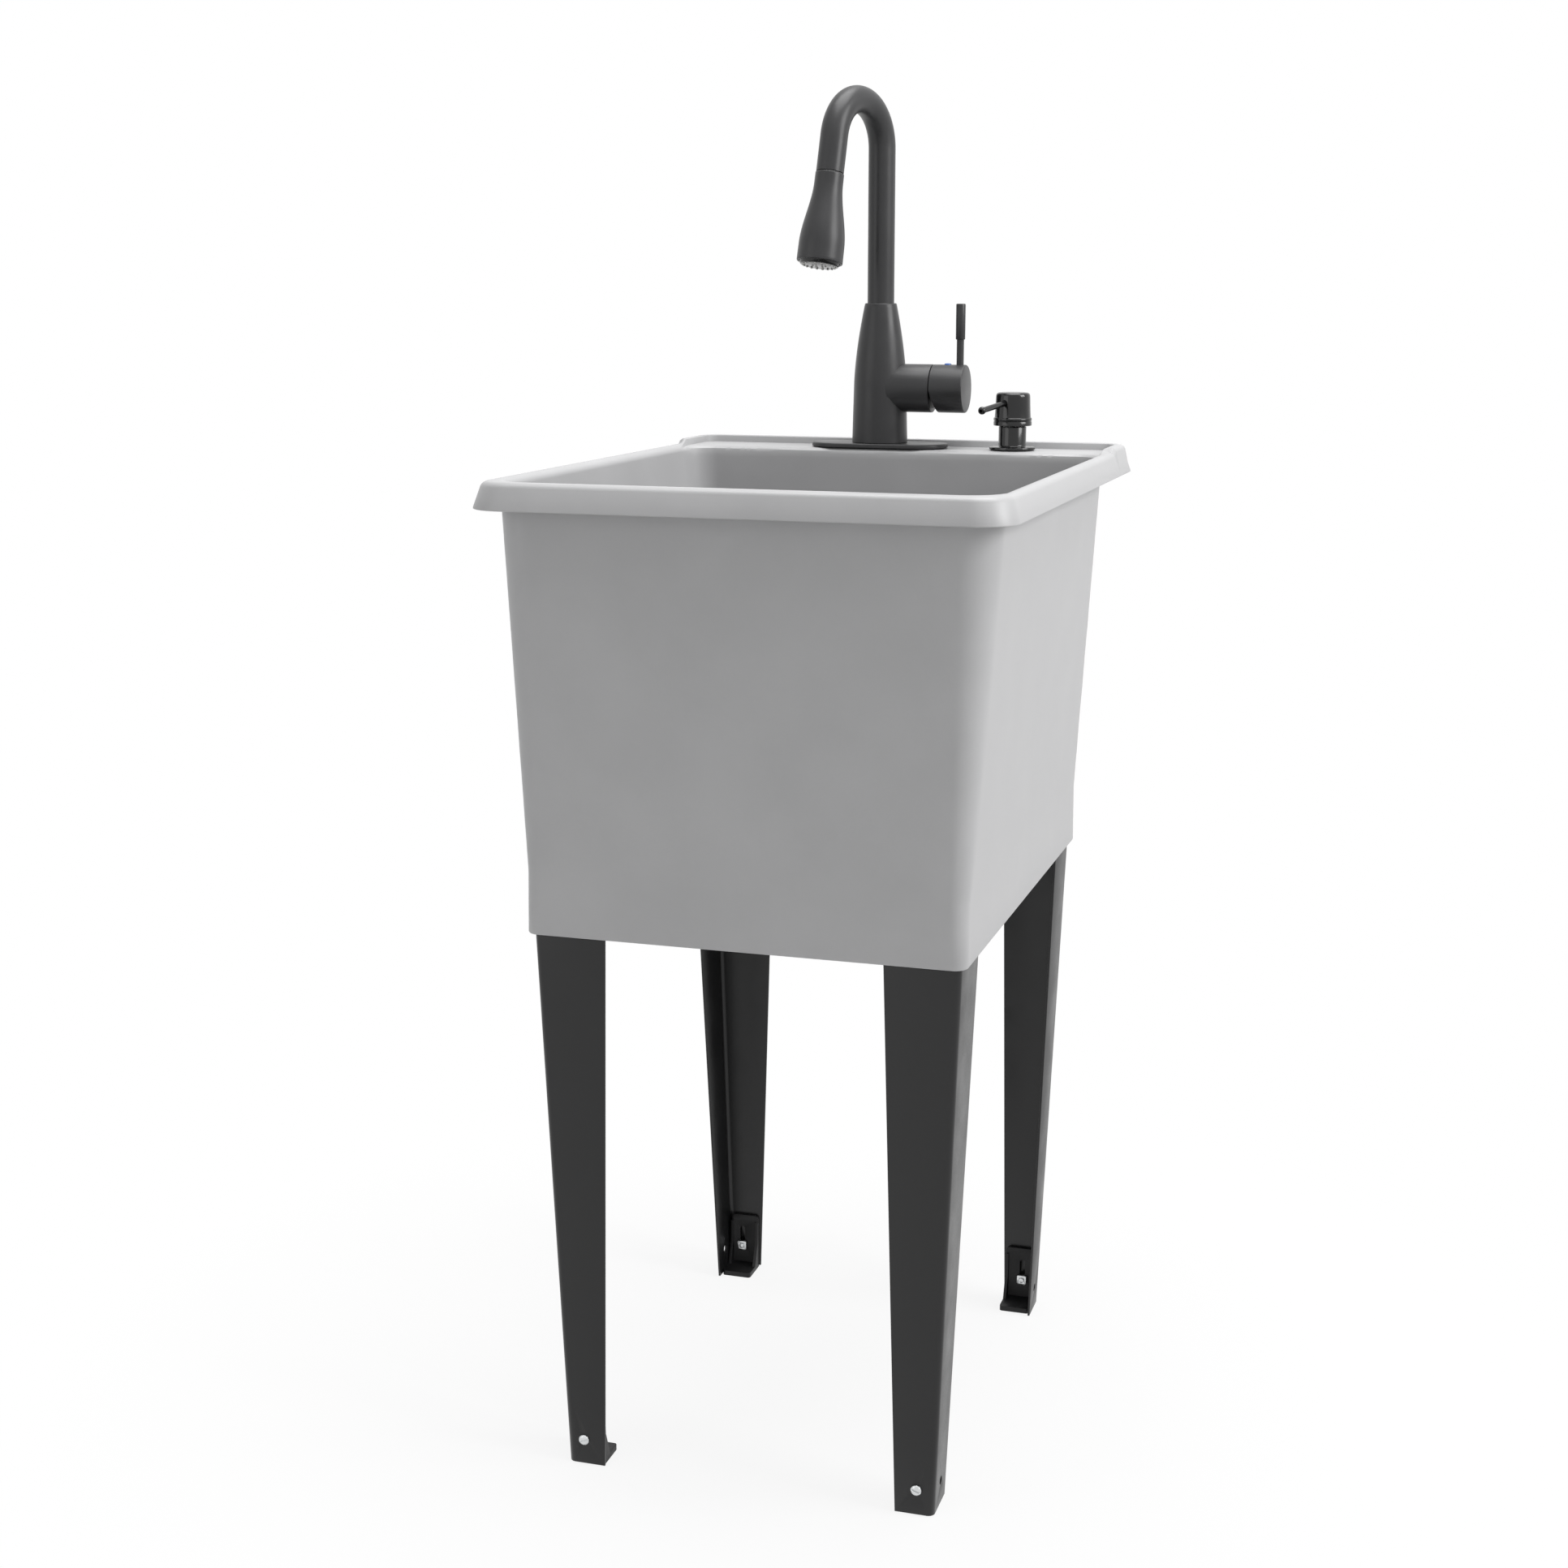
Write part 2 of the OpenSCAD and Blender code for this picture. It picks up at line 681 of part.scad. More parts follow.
// Slot that takes a leg's upper end, with room for its lean and its fold
module socket_slot() {
    x0 = leg_x(tub_z) - leg_t - socket_fit;
    y0 = leg_y(tub_z) - leg_t - socket_fit;
    x1 = leg_x(leg_seat_z) + socket_fit;
    y1 = leg_y(leg_seat_z) + socket_fit;
    u = flange_w(face_top_w, face_low_w, leg_seat_z) + 2 * socket_fit;
    v = flange_w(side_top_w, side_low_w, leg_seat_z) + 2 * socket_fit;
    h = socket_depth + over;
    translate([x1 - u, y0, tub_z - over]) cube([u, y1 - y0, h]);
    translate([x0, y1 - v, tub_z - over]) cube([x1 - x0, v, h]);
    translate([x0 - leg_fold_r, y0 - leg_fold_r, tub_z - over]) cube([leg_fold_r + over, leg_fold_r + over, h]);
}

// Ribs round a slot, run out into the band's walls
module socket_block(z, h) {
    x0 = leg_x(tub_z) - leg_t - socket_fit - socket_rib;
    y0 = leg_y(tub_z) - leg_t - socket_fit - socket_rib;
    u = flange_w(face_top_w, face_low_w, leg_seat_z) + socket_rib;
    v = flange_w(side_top_w, side_low_w, leg_seat_z) + socket_rib;
    out = 8;
    translate([leg_x(leg_seat_z) - u, y0, z]) cube([u + out, socket_rib + leg_t + out, h]);
    translate([x0, leg_y(leg_seat_z) - v, z]) cube([socket_rib + leg_t + out, v + out, h]);
    translate([x0 - leg_fold_r, y0 - leg_fold_r, z]) cube([leg_fold_r + out, leg_fold_r + out, h]);
}

module tub() {
    color(tub_colour) difference() {
        union() {
            rim_shell();
            ledge();
            body_solid();
            deck_gussets();
        }
        basin_space();
        deck_pan(deck_z);
        difference() {
            band_space();
            floor_dish();
            every_corner() socket_block(tub_z + 10, floor_under_z + over - tub_z - 10);
        }
        every_corner() socket_slot();
        translate([0, drain_y, drain_seat_z]) cylinder(h = drain_recess + over, d = drain_flange_d + 1);
        translate([0, drain_y, drain_under_z - over]) cylinder(h = floor_t + 2 * over, d = drain_cup_d + 2);
        translate([tap_x, tap_y, deck_under_z - over]) cylinder(h = deck_t + 2 * over, d = tap_hole_d);
        translate([soap_x, soap_y, deck_under_z - over]) cylinder(h = deck_t + 2 * over, d = soap_hole_d);
    }
}

// Gussets that carry the deck from the back wall
module deck_gussets() {
    lip_y = rim_y - skirt_lean_y - skirt_t / 2;
    for (x = [-body_x + 52, tap_x - 55, tap_x + 68, soap_x + 45])
        translate([x - gusset_t / 2, 0, 0]) rotate([90, 0, 90]) linear_extrude(height = gusset_t)
            polygon([[body_back_y - 1, deck_under_z + 1], [lip_y, deck_under_z + 1],
                [lip_y, deck_under_z - 8], [body_back_y - 1, deck_under_z - gusset_h]]);
}

module leg(side, end) {
    reach = 10;
    color(leg_colour) difference() {
        leg_loft(side, end, leg_lift, leg_seat_z, 0, 0);
        bar_y(side * foot_screw_x, leg_mid_y + end * leg_y(hole_z) - reach, hole_z,
            foot_screw_d / 2 + foot_fit, 2 * reach);
        bar_x(side * leg_x(hole_z) - reach, leg_mid_y + end * (leg_y(hole_z) - side_hole_in), hole_z,
            side_hole_d / 2, 2 * reach);
    }
}

module leg_front_left() { leg(-1, -1); }
module leg_front_right() { leg(1, -1); }
module leg_back_left() { leg(-1, 1); }
module leg_back_right() { leg(1, 1); }

// Moulded foot: a slotted plate with lips and gussets over a base that points inwards
module foot(side, end) {
    top_r = 4;
    base_r = 3;
    color(foot_colour) at_corner(side, end) difference() {
        intersection() {
            linear_extrude(height = foot_h) polygon([
                [foot_in_x, foot_back_y], [foot_in_x, foot_back_y - foot_base],
                [foot_out_x, foot_back_y - foot_base], [foot_out_x, foot_back_y - leg_fold_r + leg_t],
                [foot_out_x - leg_fold_r + leg_t, foot_back_y]
            ]);
            union() {
            translate([foot_in_x, foot_back_y, 0]) rotate([90, 0, 0]) linear_extrude(height = foot_t)
                union() {
                    square([foot_w, foot_h - top_r]);
                    translate([top_r, 0]) square([foot_w - 2 * top_r, foot_h]);
                    for (x = [top_r, foot_w - top_r]) translate([x, foot_h - top_r]) circle(r = top_r);
                }
            for (x = [foot_in_x, foot_out_x - foot_t])
                translate([x, foot_back_y, 0]) rotate([90, 0, 90]) linear_extrude(height = foot_t)
                    polygon([[0, 0], [0, foot_h - top_r], [-foot_lip, foot_h - top_r - 3],
                        [-foot_lip - 1, foot_gusset_h], [-foot_lip - 10, foot_base_t], [-foot_lip - 10, 0]]);
            linear_extrude(height = foot_base_t) union() {
                translate([foot_in_x, foot_back_y - foot_base + base_r])
                    square([foot_w, foot_base - base_r]);
                translate([foot_in_x + base_r, foot_back_y - foot_base])
                    square([foot_w - 2 * base_r, foot_base]);
                for (x = [foot_in_x + base_r, foot_out_x - base_r])
                    translate([x, foot_back_y - foot_base + base_r]) circle(r = base_r);
            }
            }
        }
        for (z = [hole_z, hole_z + foot_travel])
            bar_y(foot_screw_x, foot_back_y - foot_t - over, z, foot_slot_r, foot_t + 2 * over);
        translate([foot_screw_x - foot_slot_r, foot_back_y - foot_t - over, hole_z])
            cube([2 * foot_slot_r, foot_t + 2 * over, foot_travel]);
    }
}

module foot_front_left() { foot(-1, -1); }
module foot_front_right() { foot(1, -1); }
module foot_back_left() { foot(-1, 1); }
module foot_back_right() { foot(1, 1); }

// Slotted pan-head screws through the legs and the feet
module foot_screws() {
    nut_y = foot_back_y - foot_t - foot_fit - foot_nut_t;
    color(steel_colour) every_corner() difference() {
        union() {
            bar_y(foot_screw_x, nut_y - 1.5, hole_z, foot_screw_d / 2, foot_seat_y - nut_y + 1.5 + over);
            translate([foot_screw_x, foot_seat_y, hole_z]) rotate([-90, 0, 0]) {
                cylinder(h = foot_head_h * 0.55, d = foot_head_d);
                translate([0, 0, foot_head_h * 0.55])
                    cylinder(h = foot_head_h * 0.45, d1 = foot_head_d, d2 = foot_head_d * 0.72);
            }
        }
        translate([foot_screw_x, foot_seat_y + foot_head_h, hole_z]) rotate([0, 20, 0])
            cube([foot_head_d + 2, 2 * foot_head_h * 0.45, 1.2], center = true);
    }
}

module foot_nuts() {
    color(steel_colour) every_corner()
        translate([foot_screw_x, foot_back_y - foot_t - foot_fit - foot_nut_t, hole_z])
            rotate([-90, 0, 0]) difference() {
                intersection() {
                    translate([0, 0, foot_nut_t / 2]) cube([foot_nut_w, foot_nut_w, foot_nut_t], center = true);
                    cylinder(h = foot_nut_t, r = foot_nut_w * 0.64);
                }
                translate([0, 0, -over]) cylinder(h = foot_nut_t + 2 * over, r = foot_screw_d / 2 + thread_fit);
            }
}

module at_drain() { translate([0, drain_y, 0]) children(); }

// Strainer cup: flange, cup and threaded outlet turned from one outline
module drain_body() {
    fr = drain_flange_d / 2;
    cr = drain_cup_r;
    t = drain_cup_t;
    sr = drain_spigot_d / 2;
    br = drain_spigot_bore / 2;
    zf = drain_seat_z;
    color(steel_colour) at_drain() rotate_extrude() polygon([
        [fr, zf], [fr - 1, zf + drain_flange_t], [cr + 1, zf + drain_flange_t],
        [cr - t, zf - 1], [cr - t, drain_cup_z + 12], [cr - 10, drain_cup_z + t], [br, drain_cup_z + t],
        [br, drain_spigot_z], [sr, drain_spigot_z], [sr, drain_cup_z - 1], [cr - 9, drain_cup_z],
        [cr, drain_cup_z + 11], [cr, zf]
    ]);
}

module drain_gasket() {
    color(rubber_colour) at_drain()
        tube(drain_nut_d / 2, drain_cup_r + thread_fit, drain_under_z - drain_gasket_t, drain_gasket_t);
}

module drain_friction_ring() {
    color("#b9a27c") at_drain()
        tube(drain_nut_d / 2 - 1, drain_cup_r + thread_fit, drain_nut_top_z, drain_ring_t);
}

// Locknut with lugs to turn it by
module drain_locknut() {
    color(plastic_white) at_drain() difference() {
        union() {
            translate([0, 0, drain_nut_top_z - drain_nut_h]) cylinder(h = drain_nut_h, d = drain_nut_d - 4);
            for (a = [0:60:300]) rotate([0, 0, a])
                translate([drain_nut_d / 2 - 4, -6, drain_nut_top_z - drain_nut_h]) cube([5, 12, drain_nut_h]);
        }
        translate([0, 0, drain_nut_top_z - drain_nut_h - over])
            cylinder(h = drain_nut_h + 2 * over, r = drain_cup_r + thread_fit);
    }
}

module tailpiece_washer() {
    color(rubber_colour) at_drain()
        tube(tail_flange_r, tail_d / 2 - tail_t, drain_spigot_z - tail_washer_t, tail_washer_t);
}

module tailpiece() {
    neck_l = 6;
    neck_in = 0.7;
    color(steel_colour) at_drain() {
        difference() {
            union() {
                translate([0, 0, tail_flange_z]) cylinder(h = tail_flange_t, r = tail_flange_r);
                translate([0, 0, tail_flange_z - neck_l]) cylinder(h = neck_l + over, d = tail_d - 2 * neck_in);
                translate([0, 0, tail_flange_z - tail_l]) cylinder(h = tail_l - neck_l, d = tail_d);
            }
            translate([0, 0, tail_flange_z - tail_l - over])
                cylinder(h = tail_l + tail_flange_t + 2 * over, r = tail_d / 2 - tail_t);
        }
    }
}

// Slip nut that draws the tailpiece up to the strainer
module slip_nut() {
    lip_t = 4;
    low_z = tail_flange_z - lip_t;
    out_r = drain_spigot_d / 2 + slip_nut_t;
    color(plastic_white) at_drain() difference() {
        union() {
            translate([0, 0, low_z]) cylinder(h = slip_nut_h, r = out_r - 1.2);
            for (a = [0:30:330]) rotate([0, 0, a]) translate([out_r - 2.4, -3, low_z]) cube([2.4, 6, slip_nut_h - 3]);
        }
        translate([0, 0, tail_flange_z]) cylinder(h = slip_nut_h, r = drain_spigot_d / 2 + thread_fit);
        translate([0, 0, low_z - over]) cylinder(h = lip_t + 2 * over, r = tail_d / 2 + run_fit);
    }
}

// Basket that lifts out, with a ring of holes and a slotted wall
module strainer_basket() {
    r = basket_d / 2;
    t = basket_t;
    low_r = r - 11;
    color(steel_colour) at_drain() difference() {
        rotate_extrude() polygon([
            [0, basket_floor_z], [low_r, basket_floor_z], [r - 4, basket_rim_z - 2], [r, basket_rim_z],
            [r, basket_rim_z + t], [r - 4 - t, basket_rim_z + t - 1.4], [low_r - t, basket_floor_z + t],
            [0, basket_floor_z + t]
        ]);
        for (ring_r = [10, 17]) for (a = [0:360 / ring_r * 1.8:359]) rotate([0, 0, a])
            translate([ring_r, 0, basket_floor_z - over]) cylinder(h = t + 2 * over, r = 1.8);
        translate([0, 0, basket_floor_z - over]) cylinder(h = t + 2 * over, r = 3 + thread_fit);
    }
}

// Rubber stopper under the basket
module basket_stopper() {
    color(rubber_colour) at_drain() difference() {
        translate([0, 0, stopper_z]) cylinder(h = stopper_t, r1 = stopper_r, r2 = stopper_r - 1.5);
        translate([0, 0, stopper_z - over]) cylinder(h = stopper_t + 2 * over, r = 3 + thread_fit);
    }
}

// Post and knob that the basket is lifted by
module basket_knob() {
    top_z = drain_seat_z - 4;
    color(steel_colour) at_drain() {
        rotate_extrude() polygon([
            [0, stopper_z - 1.5], [4, stopper_z - 1.5], [5, stopper_z],
            [3, stopper_z], [3, basket_floor_z + basket_t], [4.5, basket_floor_z + basket_t],
            [3, basket_floor_z + basket_t + 3], [3, top_z - 6], [7, top_z - 4], [7.5, top_z - 2],
            [6, top_z], [0, top_z + 0.6]
        ]);
    }
}

module at_tap() { translate([tap_x, tap_y, 0]) children(); }

// Outline of the deck plate, drawn in by inset
module plate_outline(inset) {
    end_r = plate_d / 2;
    run = plate_w / 2 - end_r;
    for (x = [-run, run]) translate([x, 0]) circle(r = end_r - inset);
    square([2 * run, plate_d - 2 * inset], center = true);
}

// Deck plate with a softened upper edge
module deck_plate() {
    end_r = plate_d / 2;
    run = plate_w / 2 - end_r;
    edge = 1.6;
    color(black_finish) at_tap() difference() {
        hull() for (x = [-run, run]) translate([x, 0, plate_z]) rotate_extrude($fn = 72) polygon([
            [0, 0], [end_r, 0], [end_r, plate_t - edge], [end_r - edge * 0.3, plate_t - edge * 0.3],
            [end_r - edge, plate_t], [0, plate_t]
        ]);
        translate([0, 0, plate_z - over]) cylinder(h = plate_t + 2 * over, d = tap_hole_d - 1);
    }
}

module deck_plate_gasket() {
    color(rubber_colour) at_tap() difference() {
        translate([0, 0, deck_z]) linear_extrude(height = gasket_t) plate_outline(6);
        translate([0, 0, deck_z - over]) cylinder(h = gasket_t + 2 * over, d = tap_hole_d - 1);
    }
}

// Outer radius of the column at a height above the deck
function column_r(h) = h < arm_h
    ? column_low_r + (column_mid_r - column_low_r) * h / arm_h
    : column_mid_r - (column_mid_r - column_top_r) * pow((h - arm_h) / (column_h - arm_h), 1.6);

// Cast column with its valve arm
module tap_body() {
    foot_h = tap_foot_z - deck_z;
    steps = 14;
    color(black_finish) difference() {
        union() {
            at_tap() rotate_extrude() polygon(concat(
                [[0, tap_foot_z], [column_r(foot_h), tap_foot_z]],
                [for (i = [0:steps]) let (h = arm_h + (column_h - arm_h) * i / steps - (i == steps ? 0.8 : 0))
                    [column_r(h), deck_z + h]],
                [[column_top_r - 0.5, column_top_z], [0, column_top_z]]
            ));
            bar_x(tap_x, tap_y, arm_z, arm_r, arm_reach - 0.8);
            translate([arm_face_x - 0.8, tap_y, arm_z]) rotate([0, 90, 0])
                cylinder(h = 0.8, r1 = arm_r, r2 = arm_r - 0.8);
        }
        at_tap() {
            translate([0, 0, tap_foot_z - over]) cylinder(h = shank_top_z - tap_foot_z + over, d = shank_d + 2 * thread_fit);
            for (y = [-inlet_y, inlet_y]) translate([inlet_x, y, shank_top_z - over])
                cylinder(h = inlet_l + over, d = inlet_d);
            translate([hose_port_x, 0, shank_top_z - over]) cylinder(h = port_top_z - shank_top_z + 2 * over, r = hose_port_r);
            translate([0, 0, port_top_z]) cylinder(h = spout_low_z - port_top_z + over, r = chamber_r);
            translate([0, 0, spout_low_z]) cylinder(h = spout_seat + over, r = spout_r + 2 * run_fit);
            translate([0, 0, column_top_z - bush_h]) cylinder(h = bush_h + over, r = bush_out_r + thread_fit);
        }
        bar_x(arm_face_x - cavity_l, tap_y, arm_z, cartridge_r + thread_fit, cavity_l + over);
        bar_x(arm_face_x - nut_l, tap_y, arm_z, cartridge_r + 1.5, nut_l + over);
    }
}

module tap_shank() {
    color("#b59a55") at_tap() tube(shank_d / 2, shank_bore / 2, shank_low_z, shank_top_z - shank_low_z);
}

module shank_rubber_washer() {
    color(rubber_colour) at_tap()
        tube(tap_nut_d / 2 + 0.5, shank_d / 2 + run_fit, deck_under_z - washer_t, washer_t);
}

module shank_steel_washer() {
    color(steel_colour) at_tap()
        tube(tap_nut_d / 2 + 0.5, shank_d / 2 + run_fit, tap_nut_top_z, steel_washer_t);
}

// Winged mounting nut
module mounting_nut() {
    color("#b59a55") at_tap() difference() {
        union() {
            translate([0, 0, tap_nut_top_z - tap_nut_h]) cylinder(h = tap_nut_h, d = tap_nut_d - 4);
            for (a = [0:60:300]) rotate([0, 0, a]) translate([tap_nut_d / 2 - 4, -4, tap_nut_top_z - tap_nut_h])
                cube([4, 8, tap_nut_h]);
        }
        translate([0, 0, tap_nut_top_z - tap_nut_h - over])
            cylinder(h = tap_nut_h + 2 * over, r = shank_d / 2 + thread_fit);
    }
}

// Ceramic cartridge's housing, with a neck that holds the rotor
module cartridge() {
    color(plastic_white) difference() {
        union() {
            bar_x(arm_face_x - cavity_l, tap_y, arm_z, cartridge_r, cavity_l - nut_l);
            bar_x(arm_face_x - nut_l - over, tap_y, arm_z, neck_r, nut_l + 2 * over);
        }
        bar_x(arm_face_x - 15, tap_y, arm_z, rotor_r, 20);
    }
}

module cartridge_nut() {
    color("#b59a55") difference() {
        bar_x(arm_face_x - nut_l, tap_y, arm_z, cartridge_r + 1.5 - thread_fit, nut_l - 0.3);
        bar_x(arm_face_x - nut_l - over, tap_y, arm_z, neck_r + thread_fit, nut_l + 2 * over);
    }
}

// Rotor that turns for temperature and carries the stem's pin
module cartridge_rotor() {
    color("#c7c7bf") difference() {
        bar_x(arm_face_x - 15 + run_fit, tap_y, arm_z, rotor_r - run_fit, 17);
        translate([arm_face_x - 12, tap_y - stem_w / 2 - 2 * run_fit, arm_z - rotor_r - over])
            cube([20, stem_w + 4 * run_fit, 2 * (rotor_r + over)]);
        bar_y(pivot_x, tap_y - rotor_r - over, arm_z, 1.5 + thread_fit, 2 * (rotor_r + over));
    }
}

module stem_pin() {
    color(steel_colour) bar_y(pivot_x, tap_y - rotor_r + 1, arm_z, 1.5, 2 * (rotor_r - 1));
}

// Stem that the handle is clamped to
module valve_stem() {
    back_x = pivot_x - 7;
    color(steel_colour) difference() {
        translate([back_x, tap_y - stem_w / 2, arm_z - stem_tall / 2]) cube([stem_end_x - back_x, stem_w, stem_tall]);
        bar_y(pivot_x, tap_y - stem_w, arm_z, 1.5 + run_fit, 2 * stem_w);
    }
}

// Cap over the cartridge, notched underneath so that it can tilt
module handle_cap() {
    end_r = 1.2;
    socket = thread_fit;
    color(black_finish) difference() {
        union() {
            bar_x(cap_x, tap_y, arm_z, cap_r, cap_l - end_r);
            translate([cap_end_x - end_r, tap_y, arm_z]) rotate([0, 90, 0])
                cylinder(h = end_r, r1 = cap_r, r2 = cap_r - end_r);
        }
        bar_x(cap_x - over, tap_y, arm_z, cap_r - cap_t, cap_core_x - cap_x + over);
        translate([cap_core_x - over, tap_y - stem_w / 2 - socket, arm_z - stem_tall / 2 - socket])
            cube([stem_end_x - cap_core_x + over + 0.2, stem_w + 2 * socket, stem_tall + 2 * socket]);
        translate([cap_x, tap_y, arm_z]) rotate([0, -flow_angle - 1, 0]) translate([-20, -cap_r - over, -2 * cap_r])
            cube([20, 2 * (cap_r + over), 2 * cap_r]);
        translate([lever_x, tap_y, lever_foot_z]) cylinder(h = cap_r, r = lever_d / 2 + thread_fit);
        translate([dot_x, tap_y, arm_z]) cylinder(h = cap_r + over, r = set_screw_r + thread_fit);
        translate([dot_x, tap_y, arm_z + cap_r - 3]) cylinder(h = 3 + over, r = dot_d / 2 + thread_fit);
    }
}

module lever_rod() {
    color(black_finish) translate([lever_x, tap_y, lever_foot_z])
        cylinder(h = arm_z + grip_z - lever_foot_z + 20, d = lever_d);
}

module lever_grip() {
    edge = 0.8;
    color(black_finish) translate([lever_x, tap_y, arm_z + grip_z]) difference() {
        rotate_extrude() polygon([
            [0, 0], [grip_d / 2 - edge, 0], [grip_d / 2, edge], [grip_d / 2, grip_l - edge],
            [grip_d / 2 - edge, grip_l], [0, grip_l]
        ]);
        translate([0, 0, -over]) cylinder(h = 20 + over, r = lever_d / 2 + thread_fit);
    }
}

module index_button() {
    r = dot_d / 2;
    color(button_blue) translate([dot_x, tap_y, arm_z + cap_r - 3]) rotate_extrude()
        polygon([[0, 0], [r, 0], [r, 2.6], [r * 0.8, 3.3], [0, 3.7]]);
}

module handle_set_screw() {
    color(steel_colour) translate([dot_x, tap_y, arm_z + stem_tall / 2]) difference() {
        cylinder(h = 9, r = set_screw_r);
        translate([0, 0, 6]) cylinder(h = 4, r = 1.4, $fn = 6);
    }
}

// Places what is drawn with X as the spout's direction
module at_spout() { at_tap() rotate([0, 0, -90 - spout_turn]) children(); }

// Places what is drawn with Z down the outlet, from the tube's mouth
module at_outlet() {
    at_spout() translate([outlet_x, 0, outlet_z]) rotate([0, 180 - outlet_tilt, 0]) children();
}

// Straight run of the spout's tube from a to b
module spout_run(a, b) {
    rotate([0, 0, 180]) tube(spout_r - bend_proud, spout_r - spout_t + bend_proud, a, b - a);
}

// Gooseneck: straight tube, bend and outlet, with grooves for its rings
module spout() {
    color(black_finish) difference() {
        union() {
            at_spout() spout_run(spout_low_z, bend_level_z);
            at_spout() translate([bend_r, 0, bend_level_z]) rotate([90, 0, 0]) rotate([0, 0, outlet_tilt])
                rotate_extrude(angle = 180 - outlet_tilt) translate([bend_r, 0]) difference() {
                    circle(r = spout_r);
                    circle(r = spout_r - spout_t);
                }
            at_outlet() spout_run(-outlet_run, 0);
        }
        at_tap() for (z = ring_zs) translate([0, 0, z]) rotate_extrude() translate([spout_r, 0])
            circle(r = ring_r);
    }
}

module spout_bushing() {
    color(plastic_white) at_tap()
        tube(bush_out_r, spout_r + run_fit, column_top_z - bush_h, bush_h - 0.5);
}

module spout_o_rings() {
    color(rubber_colour) at_tap() for (z = ring_zs) translate([0, 0, z]) intersection() {
        rotate_extrude() translate([spout_r, 0]) circle(r = ring_r - thread_fit);
        translate([0, 0, -2]) cylinder(h = 4, r = spout_r + run_fit);
    }
}

module docking_collar() {
    color(plastic_white) at_outlet()
        tube(spout_r - spout_t - thread_fit, dock_r, -dock_l - 1, dock_l);
}

// Outer radius of the spray head at a distance from its joint
function spray_r(s) =
    let (t = min(1, max(0, (s - 10) / (spray_l - 26))), ease = t * t * (3 - 2 * t))
    spray_top_r + (spray_low_r - 0.9 - spray_top_r) * ease + 0.9 * s / spray_l;

// Flared spray head, hollow behind its face
module spray_head() {
    steps = 18;
    lip = 3;
    color(black_finish) at_outlet() translate([0, 0, spray_gap]) difference() {
        union() {
            rotate_extrude() polygon(concat(
                [[0, 0], [spray_top_r - 0.6, 0], [spray_top_r, 0.6]],
                [for (i = [1:steps]) [spray_r((spray_l - 1) * i / steps), (spray_l - 1) * i / steps]],
                [[spray_low_r - 1.4, spray_l], [0, spray_l]]
            ));
            translate([0, 0, -spray_gap - dock_l + 3]) cylinder(h = dock_l, r = dock_r - 3 * run_fit);
        }
        translate([0, 0, spray_l - 12]) cylinder(h = 12 + over, r = spray_low_r - spray_t);
        translate([0, 0, 22]) cylinder(h = spray_l - 30, r = spray_top_r - spray_t - 1);
        translate([0, 0, -spray_gap - dock_l]) cylinder(h = 40, r = hose_r + thread_fit);
    }
}

// Face plate with its nozzle holes
module spray_face() {
    r = spray_low_r - spray_t - thread_fit;
    color(gloss_black) at_outlet() translate([0, 0, spray_gap + spray_l - 12]) difference() {
        union() {
            cylinder(h = 12, r = r);
            translate([0, 0, 12]) cylinder(h = face_proud, r1 = r - 0.6, r2 = r - 1.6);
        }
        for (a = [0:nozzle_count - 1]) rotate([0, 0, a * 360 / nozzle_count])
            translate([r - 3.9, 0, 8]) cylinder(h = 10, r = 1.1);
        for (a = [0:60:300]) rotate([0, 0, a]) translate([6, 0, 8]) cylinder(h = 10, r = 1.1);
    }
}

// Soft nozzles of both rings
module spray_nozzles() {
    r = spray_low_r - spray_t - thread_fit;
    l = 4 + face_proud + 0.8;
    color("#d8d8d4") at_outlet() translate([0, 0, spray_gap + spray_l - 4]) {
        for (a = [0:nozzle_count - 1]) rotate([0, 0, a * 360 / nozzle_count])
            translate([r - 3.9, 0, 0]) cylinder(h = l, r1 = 1.1 - thread_fit, r2 = 0.8);
        for (a = [0:60:300]) rotate([0, 0, a]) translate([6, 0, 0])
            cylinder(h = l, r1 = 1.1 - thread_fit, r2 = 0.8);
    }
}

module spray_hose() {
    color("#4a4b4d") at_outlet() tube(hose_r, hose_r - 1.8, -spray_pull - 8, spray_pull + 28 + spray_gap);
}

module at_soap() { translate([soap_x, soap_y, 0]) children(); }

// Collar: flange, neck and threaded shank in one turned piece
module soap_collar() {
    r = soap_flange_r;
    z0 = deck_z + soap_pad_t;
    z1 = deck_z + soap_flange_h;
    top_z = deck_z + soap_neck_h;
    color(gloss_black) at_soap() rotate_extrude() polygon([
        [soap_bore_r, soap_low_z], [soap_shank_r, soap_low_z], [soap_shank_r, z0], [r, z0],
        [r, z1 - 1.6], [r - 0.5, z1 - 0.7], [r - 2, z1 - 0.2], [soap_neck_r + 1.2, z1], [soap_neck_r, z1 + 1],
        [soap_neck_r, top_z - 0.5], [soap_neck_r - 0.5, top_z], [soap_neck_r - 1.3, top_z],
        [soap_neck_r - 1.3, cylinder_seat_z], [soap_bore_r, cylinder_seat_z]
    ]);
}

module soap_gasket() {
    color(rubber_colour) at_soap() tube(soap_flange_r - 1.5, soap_shank_r + run_fit, deck_z, soap_pad_t);
}

module soap_nut() {
    out_r = soap_shank_r + 6.5;
    color("#2b2b2d") at_soap() difference() {
        translate([0, 0, deck_under_z - soap_nut_h]) union() {
            cylinder(h = soap_nut_h, r = out_r, $fn = 6);
            translate([0, 0, soap_nut_h - 2]) cylinder(h = 2, r = out_r + 0.5);
        }
        translate([0, 0, deck_under_z - soap_nut_h - over])
            cylinder(h = soap_nut_h + 2 * over, r = soap_shank_r + thread_fit);
    }
}

